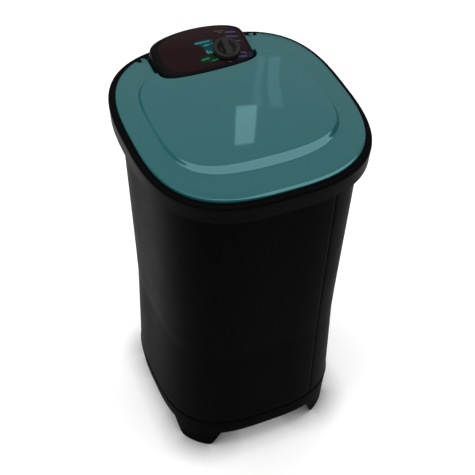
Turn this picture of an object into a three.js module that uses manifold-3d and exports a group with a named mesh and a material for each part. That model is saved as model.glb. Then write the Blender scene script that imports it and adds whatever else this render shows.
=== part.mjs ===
// A semi-automatic tub washer: tapered plastic cabinet, flared rim, hinged lid, control housing with one
// timer knob, tub with agitator, belt drive and motor. Millimetres, +Z up, the front faces -Y, origin on the
// floor under the middle of the rim.

import * as THREE from 'three'
import { mergeVertices } from 'three/addons/utils/BufferGeometryUtils.js'
import Module from 'manifold-3d'

const wasm = await Module()
wasm.setup()

// Fits and counts
const fitGap = 0.3
const hingeGap = 0.5
const overrun = 2
const weldGap = 0.0001
const outlineSteps = 36
const housingSteps = 24
const roundSteps = 12
const boltSteps = 8
const netSteps = 12
const wideSteps = 24
const motorSteps = 16
const hexSides = 6
const cornerSteps = 2

// Rim: its outline is the largest, and the pieces at the top take their size from it
const rimWidth = 451.5
const rimDepth = 489
const rimSquareness = 2.9
const rimWall = 3
const rimDraft = 2.2
const rimEdgeRound = 5
const rimLipGap = 0.8
const rimShelfSide = 41.75
const rimShelfFront = 54.5
const mouthWidth = rimWidth - 2 * rimShelfSide
const mouthDepth = rimDepth - 2 * rimShelfFront
const mouthSquareness = 3.1
const mouthShift = -3.3
const collarDepth = 27

// Outlines of the cabinet from the floor up: width, depth, squareness
const footWidth = 379.6
const footDepth = 389.6
const skirtEdgeWidth = 387.4
const skirtEdgeDepth = 398
const baseWidth = 393.4
const baseDepth = 403.8
const waistWidth = 380.6
const waistDepth = 395.8
const waistLedge = 2.8
const rimFlareSide = 23.95
const rimFlareFront = 34
const bodyTopWidth = rimWidth - 2 * rimFlareSide
const bodyTopDepth = rimDepth - 2 * rimFlareFront
const baseSquareness = 2.94
const waistSquareness = 3.3
const bodyTopSquareness = 3.58

// Heights of the cabinet
const padHeight = 9
const footBottom = 4
const archHeight = 53
const archRise = 4.5
const archSteps = 6
const baseTop = 95.5
const waistHeight = 368
const waistBand = 6
const bandBottom = 763
const rimTop = 801.5

// Base moulding
const deckTop = 62
const deckHoleRadius = 100
const footEndAtFloor = 124
const footEndAtSkirt = 104
const baseEdgeRound = 1.4
const baseLipHeight = 16
const baseLipWall = 3
const baseLipDraft = 1.2
const skirtWall = 3.5
const footRib = 2.5
const footPadRadius = 13
const footPadOffset = 140
const footPadRound = 1.5

// Cabinet shells
const shellWall = 3
const shellInset = 0.7
const seamAtTop = 113.8
const seamAtBase = 109.5
const seamGap = 0.6
const tongueReach = 12
const tongueWall = 2.7

// Back service cover
const coverWidth = 236
const coverBottom = 176
const coverHeight = 172
const coverLap = 12
const coverWall = 2.2
const coverScrewInset = 6
const seamFromCover = 11.5
const rearSeamAtBase = -coverWidth / 2 - seamFromCover
const rearSeamAtTop = rearSeamAtBase - seamAtTop + seamAtBase
const louvreCount = 6
const louvreWidth = 120
const louvreHeight = 6
const louvrePitch = 16
const coverScrewRadius = 4
const coverScrewHeadHeight = 2
const coverScrewShankRadius = 1.6
const coverScrewLength = 9

// Pocket in the rim that the timer hangs in
const pocketHalfWidth = 84
const pocketBack = 2.7
const pocketLength = 63
const pocketRear = mouthDepth / 2 + mouthShift - pocketBack
const pocketFront = pocketRear - pocketLength
const pocketDepth = 44
const pocketWall = 3
const pocketRound = 10

// Lid
const lidMarginSide = 12.75
const lidMarginFront = 15.5
const lidWidth = rimWidth - 2 * lidMarginSide
const lidDepth = rimDepth - 2 * lidMarginFront
const lidSquareness = 2.91
const lidShift = -2.1
const lidGap = 0.5
const lidEdgeHeight = 7
const lidEdgeRound = 3
const lidSkin = 2.5
const flangeRise = 3.2
const lidBorderSide = 39
const lidBorderFront = 70.5
const raisedWidth = lidWidth - 2 * lidBorderSide
const raisedDepth = lidDepth - 2 * lidBorderFront
const raisedSquareness = 3.5
const raisedShift = 1.4
const raisedHeight = 8.5
const raisedRun = 10
const raisedRound = 3
const crownRise = 3.2
const notchGap = 1.5
const notchWall = 2.5

// Lid hinge
const hingeFromRear = 39.5
const hingeY = rimDepth / 2 - hingeFromRear
const knuckleRadius = 5
const hingePinRadius = 2.5
const earInner = 111
const earOuter = 119
const earReach = 15
const lugWidth = 5.5
const pinInner = 90

// Control housing on the rear of the rim
const housingWidth = 206.5
const housingDepth = 125.6
const housingSquareness = 6.5
const housingFromRear = 135.4
const housingFront = rimDepth / 2 - housingFromRear
const housingSide = -3.2
const housingRearBow = 17.5
const housingFrontBow = 7.2
const housingDraft = 5
const housingWall = 3
const housingRoof = 4.5
const housingEdgeRound = 6
const housingFrontHeight = 17.1
const housingSlope = 10.6
const fasciaWidth = 174
const fasciaSide = -2.4
const fasciaSquareness = 5
const fasciaDepth = 103
const fasciaThickness = 1.7
const fasciaShift = 1.5
const fasciaRearBow = 17

// Timer and knob
const knobX = 40
const knobFromFront = 43.9
const knobRadius = 27
const knobSkirt = 9.9
const knobTaper = 1.2
const knobGripWidth = 10
const knobGripRise = 3.1
const knobGripTurn = 5
const knobEndRun = 6
const knobGripSquareness = 3
const knobFlankSquareness = 2.4
const knobStandOff = 0.6
const knobBoreDepth = 9
const timerWidth = 52
const timerDepth = 42
const timerHeight = 34
const timerEdge = 4
const timerShaftRadius = 3
const timerShaftDepth = 16
const shaftHoleGap = 1

// Tub
const tubWall = 3
const tubGap = 0.5
const tubFlangeReach = 24
const tubBandWidth = 336
const tubBandDepth = 346
const tubHeelWidth = 326
const tubHeelDepth = 336
const tubFloorWidth = 300
const tubFloorDepth = 310
const tubFloorHeight = 334
const tubHeelRise = 16
const tubHeelHeight = tubFloorHeight + tubHeelRise
const tubBandRise = 42
const tubBandHeight = tubHeelHeight + tubBandRise
const tubSquareness = 2.8
const dishRadius = 122
const dishDepth = 7
const bossRadius = 11

// Agitator, shaft and bearings
const shaftRadius = 8
const shaftRise = 17
const shaftTop = tubFloorHeight + shaftRise
const agitatorRadius = 116
const agitatorLift = 3
const agitatorEdge = 6
const agitatorDome = 26
const agitatorHubRadius = 30
const agitatorCapRadius = 17
const agitatorCapHeight = 7
const finCount = 6
const finHeight = 26
const finThickness = 7
const finLength = 80
const finTurn = 14
const finSteps = 3
const housingFlangeRadius = 50
const housingFlangeThickness = 7
const housingBarrelRadius = 24
const housingBarrelLength = 92
const bushWall = 6
const bushLength = 18
const sealLength = 7
const floorHoleRadius = 28
const bearingBoltCircle = 40
const bearingBoltRadius = 3
const bearingBoltHeadRadius = 6
const bearingBoltHeadHeight = 4
const boltBite = 1.5

// Belt drive
const pulleyRadius = 95
const pulleyGroove = 8
const pulleyHeight = 17
const pulleyDrop = 158
const pulleyBottom = tubFloorHeight - pulleyDrop
const pulleyRim = 5
const pulleyLand = 1.2
const pulleyHubRadius = 20
const pulleyWeb = 5
const pulleyWindowCount = 5
const pulleyWindowRadius = 20
const motorPulleyRadius = 24
const motorX = 92
const motorY = 92
const pulleyBoltRadius = 13
const pulleyBoltHeight = 6
const beltWidth = 9
const beltThickness = 5
const beltArcSteps = 9

// Motor
const motorShaftRadius = 6
const statorRadius = 60
const statorHeight = 62
const statorRise = 46
const statorBottom = pulleyBottom + statorRise
const rotorRadius = 31
const rotorGap = 0.6
const endCapHeight = 16
const endCapWall = 3
const endCapInset = 4
const bracketDrop = 16
const bracketTop = tubFloorHeight - bracketDrop
const bracketThickness = 4
const bracketLength = 100
const bracketWidth = 114
const bracketShift = -5
const bracketCorner = 11
const motorBoltCircle = 50
const motorBoltRadius = 3
const motorBoltHeadRadius = 5.5
const motorBoltHeadHeight = 4
const spacerWall = 2

// Capacitor
const capacitorX = -124
const capacitorY = -112
const capacitorRadius = 22
const capacitorHeight = 78
const capacitorEdge = 3
const clipWall = 2.5
const clipHeight = 14
const clipLift = 34
const clipLegWidth = 16

// Drain
const sumpX = -102
const sumpY = 99
const sumpWall = 3
const sumpLength = 26
const grilleRadius = 19
const grilleThickness = 2.5
const grilleSpigot = 8
const grilleSlot = 3
const grilleSlotCount = 4
const grillePitch = 5.5
const pipeRadius = 14
const pipeBore = 11
const pipeSocket = 18
const outletX = -60
const outletHeight = 140
const outletReach = 34
const pipeSteps = 9
const pipeSides = 6
const grommetWall = 5
const grommetLip = 3
const grommetLipWall = 3

// Gland for the mains cord
const glandX = 70
const glandHeight = 140
const glandRadius = 8
const glandBore = 4
const glandLip = 3
const glandLipWall = 2.5

// Lint filter on the left wall of the tub
const filterInset = 12.2
const filterRise = 211
const filterBottom = tubFloorHeight + filterRise
const filterShare = (filterBottom - tubBandHeight) / (rimTop - pocketDepth - tubBandHeight)
const filterWallX = THREE.MathUtils.lerp(tubBandWidth, mouthWidth + 2 * (rimWall + tubGap), filterShare) / 2
const filterX = filterInset - filterWallX
const filterHeight = 120
const filterWidth = 88
const filterThickness = 5
const filterBorder = 8
const filterTab = 14
const netBulge = 16
const netRim = 3
const netRows = 4
const netColumns = 3
const netBar = 2.2
const netSquareness = 5
const guideWall = 5
const guideLip = 4
const guideBottom = 4

// Outlines

function outline(width, depth, squareness, shiftY = 0, frontBow = 0, rearBow = 0, shiftX = 0) {
  return { halfWidth: width / 2, halfDepth: depth / 2, squareness, shiftX, shiftY, frontBow, rearBow }
}

const footOutline = outline(footWidth, footDepth, baseSquareness)
const skirtOutline = outline(skirtEdgeWidth, skirtEdgeDepth, baseSquareness)
const baseOutline = outline(baseWidth, baseDepth, baseSquareness)
const waistOutline = outline(waistWidth, waistDepth, waistSquareness)
const bodyTopOutline = outline(bodyTopWidth, bodyTopDepth, bodyTopSquareness)
const rimOutline = outline(rimWidth, rimDepth, rimSquareness)
const mouthOutline = outline(mouthWidth, mouthDepth, mouthSquareness, mouthShift)
const lidOutline = outline(lidWidth, lidDepth, lidSquareness, lidShift)
const raisedOutline = outline(raisedWidth, raisedDepth, raisedSquareness, raisedShift)
const tubBandOutline = outline(tubBandWidth, tubBandDepth, tubSquareness, mouthShift)
const tubHeelOutline = outline(tubHeelWidth, tubHeelDepth, tubSquareness, mouthShift)
const tubFloorOutline = outline(tubFloorWidth, tubFloorDepth, tubSquareness, mouthShift)
const housingShift = housingFront + housingDepth / 2
const housingOutline = outline(housingWidth, housingDepth, housingSquareness, housingShift, housingFrontBow,
  housingRearBow, housingSide)
const fasciaOutline = outline(fasciaWidth, fasciaDepth, fasciaSquareness, housingShift + fasciaShift,
  housingFrontBow, fasciaRearBow, fasciaSide)

function circle(radius) {
  const roundSquareness = 2
  return outline(2 * radius, 2 * radius, roundSquareness)
}

// One ring of points round an outline, drawn in by inset, at a height or on a sloping surface
function ring(shape, inset, height, steps = outlineSteps) {
  const halfWidth = shape.halfWidth - inset
  const halfDepth = shape.halfDepth - inset
  return Array.from({ length: steps }, (_, step) => {
    const angle = (2 * Math.PI * step) / steps
    const across = Math.abs(Math.cos(angle) / halfWidth) ** shape.squareness
    const along = Math.abs(Math.sin(angle) / halfDepth) ** shape.squareness
    const reach = (across + along) ** (-1 / shape.squareness)
    const flatX = reach * Math.cos(angle)
    const flatY = reach * Math.sin(angle)
    const bow = flatY > 0 ? shape.rearBow : shape.frontBow
    const x = flatX + shape.shiftX
    const y = flatY - bow * (flatY / halfDepth) * (flatX / halfWidth) ** 2 + shape.shiftY
    const z = typeof height === 'function' ? height(x, y) : height
    return new THREE.Vector3(x, y, z)
  })
}

// Where the rear of an outline lies at a given x
function rearAt(shape, inset, x) {
  const share = Math.abs(x / (shape.halfWidth - inset))
  return shape.shiftY + (shape.halfDepth - inset) * (1 - share ** shape.squareness) ** (1 / shape.squareness)
}

// Solids

function toSolid(geometry) {
  const bare = geometry.clone()
  bare.deleteAttribute('normal')
  bare.deleteAttribute('uv')
  const merged = mergeVertices(bare, weldGap)
  const place = merged.attributes.position
  const triangles = []
  let volume = 0
  const a = new THREE.Vector3()
  const b = new THREE.Vector3()
  const c = new THREE.Vector3()
  for (let corner = 0; corner < merged.index.count; corner += 3) {
    const triangle = [0, 1, 2].map((step) => merged.index.getX(corner + step))
    if (new Set(triangle).size < triangle.length) continue
    triangles.push(triangle)
    a.fromBufferAttribute(place, triangle[0])
    b.fromBufferAttribute(place, triangle[1])
    c.fromBufferAttribute(place, triangle[2])
    volume += a.dot(b.cross(c))
  }
  const facingOut = volume > 0 ? triangles : triangles.map(([first, second, third]) => [first, third, second])
  return new wasm.Manifold(new wasm.Mesh({
    numProp: 3,
    vertProperties: Float32Array.from(place.array),
    triVerts: Uint32Array.from(facingOut.flat()),
  }))
}

function toGeometry(solid) {
  const mesh = solid.getMesh()
  const geometry = new THREE.BufferGeometry()
  geometry.setAttribute('position', new THREE.BufferAttribute(Float32Array.from(mesh.vertProperties), 3))
  geometry.setIndex(new THREE.BufferAttribute(Uint32Array.from(mesh.triVerts), 1))
  geometry.computeVertexNormals()
  return geometry
}

// Skin over a stack of rings: capped at both ends, or closed from the last ring to the first. The facets
// are split the same way on the outer and the inner side of a wall and mirrored left to right, so that
// nested skins keep their distance
function loft(rings, closed = false) {
  const steps = rings[0].length
  const points = rings.flat()
  const faces = []
  const bands = closed ? rings.length : rings.length - 1
  for (let band = 0; band < bands; band += 1) {
    const low = band * steps
    const high = ((band + 1) % rings.length) * steps
    for (let step = 0; step < steps; step += 1) {
      const next = (step + 1) % steps
      const oddQuarter = Math.floor((4 * (step + 0.5)) / steps) % 2 === 1
      const upward = points[high + step].z > points[low + step].z
      if (upward === oddQuarter) {
        faces.push(low + step, low + next, high + next, low + step, high + next, high + step)
      } else {
        faces.push(low + step, low + next, high + step, low + next, high + next, high + step)
      }
    }
  }
  if (!closed) {
    const caps = [{ first: 0, ends: rings[0], down: true }]
    caps.push({ first: (rings.length - 1) * steps, ends: rings.at(-1), down: false })
    for (const cap of caps) {
      const centre = points.length
      points.push(cap.ends.reduce((sum, point) => sum.add(point), new THREE.Vector3()).divideScalar(steps))
      for (let step = 0; step < steps; step += 1) {
        const here = cap.first + step
        const next = cap.first + ((step + 1) % steps)
        faces.push(centre, cap.down ? next : here, cap.down ? here : next)
      }
    }
  }
  const geometry = new THREE.BufferGeometry().setFromPoints(points)
  geometry.setIndex(faces)
  return toSolid(geometry)
}

// A profile of [radius, height] turned about the vertical axis
function turned(profile, steps = roundSteps) {
  const points = profile.map(([radius, height]) => new THREE.Vector2(radius, height))
  return toSolid(new THREE.LatheGeometry(points, steps).rotateX(Math.PI / 2))
}

// Radius of a many-sided bore whose flats still clear a round piece by the fit gap
function boreFor(radius, steps = roundSteps) {
  return (radius + fitGap) / Math.cos(Math.PI / steps)
}

// A hole right through the machine for a small round piece, along Z or Y
function clearHole(radius) {
  return disc(radius + fitGap, 0, rimTop, boltSteps)
}

function clearHoleAlongY(radius, x, z) {
  return alongY(disc(radius + fitGap, 0, rimDepth, boltSteps)).translate([x, 0, z])
}

function disc(radius, bottom, top, steps = roundSteps) {
  return turned([[0, bottom], [radius, bottom], [radius, top], [0, top]], steps)
}

function tube(bore, radius, bottom, top, steps = roundSteps) {
  return turned([[bore, bottom], [radius, bottom], [radius, top], [bore, top], [bore, bottom]], steps)
}

function block(low, high) {
  const size = high.map((value, axis) => value - low[axis])
  const middle = high.map((value, axis) => (value + low[axis]) / 2)
  return toSolid(new THREE.BoxGeometry(...size).translate(...middle))
}

// A flat outline drawn up along Z
function raised(shape, bottom, top, curveSteps = cornerSteps) {
  const options = { depth: top - bottom, bevelEnabled: false, curveSegments: curveSteps }
  return toSolid(new THREE.ExtrudeGeometry(shape, options).translate(0, 0, bottom))
}

function roundedRectangle(left, front, right, rear, round) {
  const shape = new THREE.Shape()
  shape.moveTo(left + round, front)
  shape.lineTo(right - round, front)
  shape.absarc(right - round, front + round, round, -Math.PI / 2, 0)
  shape.lineTo(right, rear - round)
  shape.absarc(right - round, rear - round, round, 0, Math.PI / 2)
  shape.lineTo(left + round, rear)
  shape.absarc(left + round, rear - round, round, Math.PI / 2, Math.PI)
  shape.lineTo(left, front + round)
  shape.absarc(left + round, front + round, round, Math.PI, Math.PI * 1.5)
  return shape
}

// A solid made along Z laid along X or Y: its height becomes x or y
function alongX(solid) {
  return solid.rotate([0, 90, 0])
}

function alongY(solid) {
  return solid.rotate([-90, 0, 0])
}

// Materials

function finish(colour, roughness, metalness = 0) {
  return new THREE.MeshStandardMaterial({ color: colour, roughness, metalness })
}

const blackPlastic = finish(0x141415, 0.5)
const housingBlack = finish(0x0c0c0d, 0.35)
const fasciaFilm = finish(0x241a1c, 0.3)
const tealPlastic = finish(0x3b6c6e, 0.18)
const knobPlastic = finish(0x2c2b2b, 0.45)
const tubPlastic = finish(0x2a2c2e, 0.4)
const agitatorPlastic = finish(0x45494b, 0.4)
const rubber = finish(0x1a1a1a, 0.9)
const steel = finish(0x9a9da0, 0.35, 1)
const aluminium = finish(0xb4b6b8, 0.45, 1)
const castIron = finish(0x55585b, 0.55, 1)
const bronze = finish(0x8c6b3f, 0.4, 1)
const whitePlastic = finish(0xd9dad6, 0.5)
const greyPlastic = finish(0x6b6e70, 0.5)
const netMesh = finish(0xc9cccb, 0.8)

const machine = new THREE.Group()

function add(name, solid, material, group = machine) {
  const mesh = new THREE.Mesh(toGeometry(solid), material)
  mesh.name = name
  group.add(mesh)
  return mesh
}

// Base moulding: a skirt with an arch in each side, four ribbed feet, a deck with a round hole, and a lip
// for the shells

const bodyInset = shellInset
const lipInset = bodyInset + shellWall + fitGap

// The tunnel that runs under the machine from front to rear, widened by extra
function archTunnel(extra = 0) {
  const shape = new THREE.Shape()
  const slope = (footEndAtFloor - footEndAtSkirt) / archHeight
  const endBelow = footEndAtFloor + slope * overrun + extra
  const endAbove = footEndAtSkirt + extra
  shape.moveTo(-endBelow, -overrun)
  shape.lineTo(-endAbove, archHeight + extra)
  shape.quadraticCurveTo(0, archHeight + 2 * archRise + extra, endAbove, archHeight + extra)
  shape.lineTo(endBelow, -overrun)
  return raised(shape, -rimDepth / 2, rimDepth / 2, archSteps).rotate([90, 0, 0])
}

// The space between the walls, ribs and pad bosses of the four feet, open below. Each boss reaches out to the
// corner of the skirt
function footHollows() {
  const inside = loft([
    ring(footOutline, skirtWall, footBottom - overrun),
    ring(skirtOutline, skirtWall, archHeight),
    ring(skirtOutline, skirtWall, deckTop - skirtWall),
  ])
  const walls = archTunnel(skirtWall)
  let hollows = inside.subtract(walls).subtract(walls.rotate([0, 0, 90]))
  for (const [x, y] of footPlaces()) {
    const post = disc(footPadRadius + fitGap + skirtWall, 0, deckTop).translate([x, y, 0])
    const outward = [Math.sign(x) * footPadRadius, Math.sign(y) * footPadRadius, 0]
    const boss = wasm.Manifold.hull([post, post.translate(outward)])
    const ribX = block([x - footRib / 2, -rimDepth, 0], [x + footRib / 2, rimDepth, deckTop])
    const ribY = block([-rimWidth, y - footRib / 2, 0], [rimWidth, y + footRib / 2, deckTop])
    hollows = hollows.subtract(boss).subtract(ribX).subtract(ribY)
  }
  return hollows
}

function baseTray() {
  const skirt = loft([
    ring(footOutline, 0, footBottom),
    ring(skirtOutline, 0, archHeight),
    ring(baseOutline, 0, baseTop - baseEdgeRound),
    ring(baseOutline, baseEdgeRound / 2, baseTop),
    ring(baseOutline, lipInset, baseTop),
    ring(baseOutline, lipInset + baseLipDraft, baseTop + baseLipHeight),
    ring(baseOutline, lipInset + baseLipDraft + baseLipWall, baseTop + baseLipHeight),
    ring(baseOutline, lipInset + baseLipDraft + baseLipWall, deckTop),
  ])
  const tunnel = archTunnel()
  const hole = disc(deckHoleRadius, 0, deckTop + overrun, wideSteps)
  let base = skirt.subtract(tunnel).subtract(tunnel.rotate([0, 0, 90])).subtract(hole).subtract(footHollows())
  for (const [x, y] of footPlaces()) {
    const recess = disc(footPadRadius + fitGap, 0, padHeight + fitGap).translate([x, y, 0])
    base = base.subtract(recess)
  }
  return base
}

function footPlaces() {
  return [[-1, -1], [1, -1], [-1, 1], [1, 1]].map(([x, y]) => [x * footPadOffset, y * footPadOffset])
}

function footPad() {
  return turned([
    [0, 0],
    [footPadRadius - footPadRound, 0],
    [footPadRadius, footPadRound],
    [footPadRadius, padHeight],
    [0, padHeight],
  ])
}

add('base_tray', baseTray(), blackPlastic)
const padNames = ['foot_pad_front_left', 'foot_pad_front_right', 'foot_pad_rear_left', 'foot_pad_rear_right']
footPlaces().forEach(([x, y], place) => {
  add(padNames[place], footPad(), rubber).position.set(x, y, 0)
})

// Cabinet: one tapering wall, divided into two shells along two upright seams. The front shell is the front wall
// and the left side, the rear shell is the right side and the rear wall

const bodyBottom = baseTop + fitGap
const tubFlangeTop = rimTop - rimWall - fitGap
const tubFlangeBottom = tubFlangeTop - tubWall
const bodyTop = tubFlangeBottom - fitGap

function bodyWall(outside, inside) {
  const rise = (depth) => [
    ring(baseOutline, bodyInset + depth, bodyBottom),
    ring(waistOutline, depth, waistHeight - waistBand),
    ring(waistOutline, depth - waistLedge, waistHeight),
    ring(bodyTopOutline, depth, bandBottom),
    ring(bodyTopOutline, depth, bodyTop),
  ]
  return loft([...rise(outside), ...rise(inside).reverse()], true)
}

// The space that the front shell lies in, moved out by extra: left of the front seam ahead of the machine's
// middle, and left of the rear seam behind it
function frontShellSpace(extra) {
  const leftOf = (top, base) => {
    const shape = new THREE.Shape()
    shape.moveTo(-rimWidth, baseTop - overrun)
    shape.lineTo(base + extra, baseTop - overrun)
    shape.lineTo(top + extra, bandBottom)
    shape.lineTo(top + extra, rimTop)
    shape.lineTo(-rimWidth, rimTop)
    return shape
  }
  const ahead = raised(leftOf(seamAtTop, seamAtBase), 0, rimDepth).rotate([90, 0, 0])
  const behind = raised(leftOf(rearSeamAtTop, rearSeamAtBase), -rimDepth, overrun)
  return ahead.add(behind.rotate([90, 0, 0]))
}

function rearShell() {
  const wall = bodyWall(0, shellWall)
  const slot = bodyWall(-overrun, shellWall + fitGap).intersect(frontShellSpace(seamGap / 2))
  const half = rimWidth / 2
  const aboveLip = block([-half, -rimDepth, baseTop + baseLipHeight + fitGap], [half, rimDepth, rimTop])
  const tongueSheet = bodyWall(shellWall / 2, shellWall + fitGap + tongueWall).intersect(aboveLip)
  const tongues = tongueSheet.intersect(frontShellSpace(tongueReach)).subtract(frontShellSpace(-tongueReach))
  const coverHole = block(
    [-coverWidth / 2 + coverLap, 0, coverBottom + coverLap],
    [coverWidth / 2 - coverLap, rimDepth, coverBottom + coverHeight - coverLap],
  )
  const outletHole = alongY(disc(pipeRadius + grommetWall + fitGap, 0, rimDepth))
    .translate([outletX, 0, outletHeight])
  const glandHole = alongY(disc(glandRadius + fitGap, 0, rimDepth)).translate([glandX, 0, glandHeight])
  let shell = wall.add(tongues).subtract(slot).subtract(coverHole).subtract(outletHole).subtract(glandHole)
  for (const [x, z] of coverScrewPlaces()) {
    shell = shell.subtract(clearHoleAlongY(coverScrewShankRadius, x, z))
  }
  return shell
}

function frontShell() {
  return bodyWall(0, shellWall).intersect(frontShellSpace(-seamGap / 2))
}

add('rear_shell', rearShell(), blackPlastic)
add('front_shell', frontShell(), blackPlastic)

// Back service cover: a louvred plate over the opening behind the belt drive, held by four screws

function coverScrewPlaces() {
  const x = coverWidth / 2 - coverScrewInset
  const low = coverBottom + coverScrewInset
  const high = coverBottom + coverHeight - coverScrewInset
  return [[-x, low], [x, low], [-x, high], [x, high]]
}

// How far out the rear face of the wall lies at x, z
function rearFace(x, z) {
  const share = (z - bodyBottom) / (waistHeight - waistBand - bodyBottom)
  return THREE.MathUtils.lerp(rearAt(baseOutline, bodyInset, x), rearAt(waistOutline, 0, x), share)
}

function backCover() {
  const sheet = bodyWall(-fitGap - coverWall, -fitGap)
  const left = -coverWidth / 2
  const front = roundedRectangle(left, coverBottom, -left, coverBottom + coverHeight, coverLap)
  const window = raised(front, -rimDepth, 0).rotate([90, 0, 0])
  let cover = sheet.intersect(window)
  for (let row = 0; row < louvreCount; row += 1) {
    const z = coverBottom + coverHeight / 2 + (row - (louvreCount - 1) / 2) * louvrePitch
    const slot = block(
      [-louvreWidth / 2, 0, z - louvreHeight / 2],
      [louvreWidth / 2, rimDepth, z + louvreHeight / 2],
    )
    cover = cover.subtract(slot)
  }
  for (const [x, z] of coverScrewPlaces()) {
    cover = cover.subtract(clearHoleAlongY(coverScrewShankRadius, x, z))
  }
  return cover
}

function coverScrew() {
  return alongY(turned([
    [0, -coverScrewLength],
    [coverScrewShankRadius, -coverScrewLength],
    [coverScrewShankRadius, 0],
    [coverScrewRadius, 0],
    [coverScrewRadius * 0.6, coverScrewHeadHeight],
    [0, coverScrewHeadHeight],
  ], boltSteps))
}

add('back_cover', backCover(), blackPlastic)
coverScrewPlaces().forEach(([x, z], place) => {
  const screw = add(`back_cover_screw_${place + 1}`, coverScrew(), steel)
  const slope = (rearFace(x + overrun, z) - rearFace(x - overrun, z)) / (2 * overrun)
  const rim = coverScrewRadius * Math.abs(slope)
  screw.position.set(x, rearFace(x, z) + coverWall + 2 * fitGap + rim, z)
})

// Rim: a flared band with a flat top, a collar that hangs into the tub and a lip that closes it to the
// cabinet

const rimUnder = rimTop - rimWall

function bandRing(depth, height) {
  const draft = (rimDraft * (rimTop - height)) / (rimTop - bandBottom)
  return ring(rimOutline, draft + depth, height)
}

function rimBand() {
  return loft([
    ring(bodyTopOutline, -rimLipGap, bandBottom),
    bandRing(0, bandBottom),
    bandRing(0, rimTop - rimEdgeRound),
    bandRing(rimEdgeRound * 0.3, rimTop - rimEdgeRound * 0.3),
    bandRing(rimEdgeRound, rimTop),
    ring(mouthOutline, 0, rimTop),
    ring(mouthOutline, 0, rimTop - collarDepth),
    ring(mouthOutline, -rimWall, rimTop - collarDepth),
    ring(mouthOutline, -rimWall, rimUnder),
    bandRing(rimWall + rimEdgeRound * 0.5, rimUnder),
    bandRing(rimWall, rimUnder - rimEdgeRound),
    bandRing(rimWall, bandBottom + rimWall),
    ring(bodyTopOutline, -rimLipGap, bandBottom + rimWall),
  ], true)
}

function hingeLug(side) {
  const inner = earOuter + hingeGap
  const hingeHeight = hingeZ()
  const knuckle = alongX(disc(knuckleRadius, 0, lugWidth)).translate([inner, hingeY, hingeHeight])
  const post = block(
    [inner, hingeY - knuckleRadius, rimUnder + rimWall / 2],
    [inner + lugWidth, hingeY + knuckleRadius, hingeHeight],
  )
  const lug = knuckle.add(post)
  return side > 0 ? lug : lug.mirror([1, 0, 0])
}

function hingeZ() {
  return rimTop + hingeGap + knuckleRadius
}

function hingePinHole() {
  const hole = disc(hingePinRadius + fitGap, -rimWidth, rimWidth, boltSteps)
  return alongX(hole).translate([0, hingeY, hingeZ()])
}

function topRim() {
  const mouth = loft([ring(mouthOutline, -rimWall / 2, 0), ring(mouthOutline, -rimWall / 2, rimTop)])
  const deck = loft([
    ring(housingOutline, -overrun, rimUnder, outlineSteps),
    ring(housingOutline, -overrun, rimTop, outlineSteps),
  ])
  const outer = roundedRectangle(-pocketHalfWidth - pocketWall, pocketFront - pocketWall,
    pocketHalfWidth + pocketWall, hingeY, pocketRound)
  const inner = roundedRectangle(-pocketHalfWidth, pocketFront, pocketHalfWidth, pocketRear,
    pocketRound - pocketWall)
  const pocketFloor = rimTop - pocketDepth
  const pocket = raised(outer, pocketFloor, rimTop).add(deck).intersect(mouth)
  const hollow = raised(inner, pocketFloor + pocketWall, rimTop + overrun)
  return rimBand().add(pocket).subtract(hollow).add(hingeLug(1)).add(hingeLug(-1)).subtract(hingePinHole())
}

add('top_rim', topRim(), blackPlastic)

// Control housing: a drafted, round-edged box on the rear of the rim with a sloping top

const housingBase = rimTop + fitGap
const slope = Math.tan(THREE.MathUtils.degToRad(housingSlope))

function housingTop(below = 0) {
  return (x, y) => rimTop + housingFrontHeight + slope * (y - housingFront) - below
}

function housingRing(inset, height) {
  return ring(housingOutline, inset, height, housingSteps)
}

function controlHousing() {
  const outside = loft([
    housingRing(0, housingBase),
    housingRing(housingDraft * 0.7, housingTop(housingEdgeRound)),
    housingRing(housingDraft + housingEdgeRound * 0.1, housingTop(housingEdgeRound * 0.45)),
    housingRing(housingDraft + housingEdgeRound * 0.45, housingTop(housingEdgeRound * 0.1)),
    housingRing(housingDraft + housingEdgeRound, housingTop()),
  ])
  const inside = loft([
    housingRing(housingWall, housingBase - overrun),
    housingRing(housingDraft * 0.7 + housingWall, housingTop(housingEdgeRound + housingWall)),
    housingRing(housingDraft + housingEdgeRound, housingTop(housingRoof)),
  ])
  const recessDepth = fasciaThickness + fitGap
  const recess = loft([
    ring(fasciaOutline, -fitGap, housingTop(recessDepth), housingSteps),
    ring(fasciaOutline, -fitGap, housingTop(-overrun), housingSteps),
  ])
  return outside.subtract(inside).subtract(recess).subtract(hingePinHole()).subtract(shaftHole())
}

// The knob's axis stands square to the sloping top
const knobY = housingFront + knobFromFront
const knobZ = housingTop()(knobX, knobY)

function onKnobAxis(solid) {
  return solid.rotate([housingSlope, 0, 0]).translate([knobX, knobY, knobZ])
}

function shaftHole() {
  return onKnobAxis(disc(timerShaftRadius + shaftHoleGap, -timerHeight, overrun, boltSteps))
}

function controlFascia() {
  const plate = loft([
    ring(fasciaOutline, 0, housingTop(fasciaThickness), housingSteps),
    ring(fasciaOutline, 0, housingTop(), housingSteps),
  ])
  return plate.subtract(shaftHole())
}

add('control_housing', controlHousing(), housingBlack)
add('control_fascia', controlFascia(), fasciaFilm)

// Timer: its case hangs under the housing's roof, and its shaft carries the knob

const roofUnder = -housingRoof * Math.cos(THREE.MathUtils.degToRad(housingSlope))

function timerBody() {
  const plan = roundedRectangle(-timerWidth / 2, -timerDepth / 2, timerWidth / 2, timerDepth / 2, timerEdge)
  const top = roofUnder - fitGap
  const body = raised(plan, top - timerHeight, top)
  const bore = disc(boreFor(timerShaftRadius, boltSteps), top - timerShaftDepth, overrun, boltSteps)
  return onKnobAxis(body.subtract(bore))
}

function timerShaft() {
  const bottom = roofUnder - timerShaftDepth
  return onKnobAxis(disc(timerShaftRadius, bottom + fitGap, knobStandOff + knobBoreDepth - fitGap, boltSteps))
}

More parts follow.
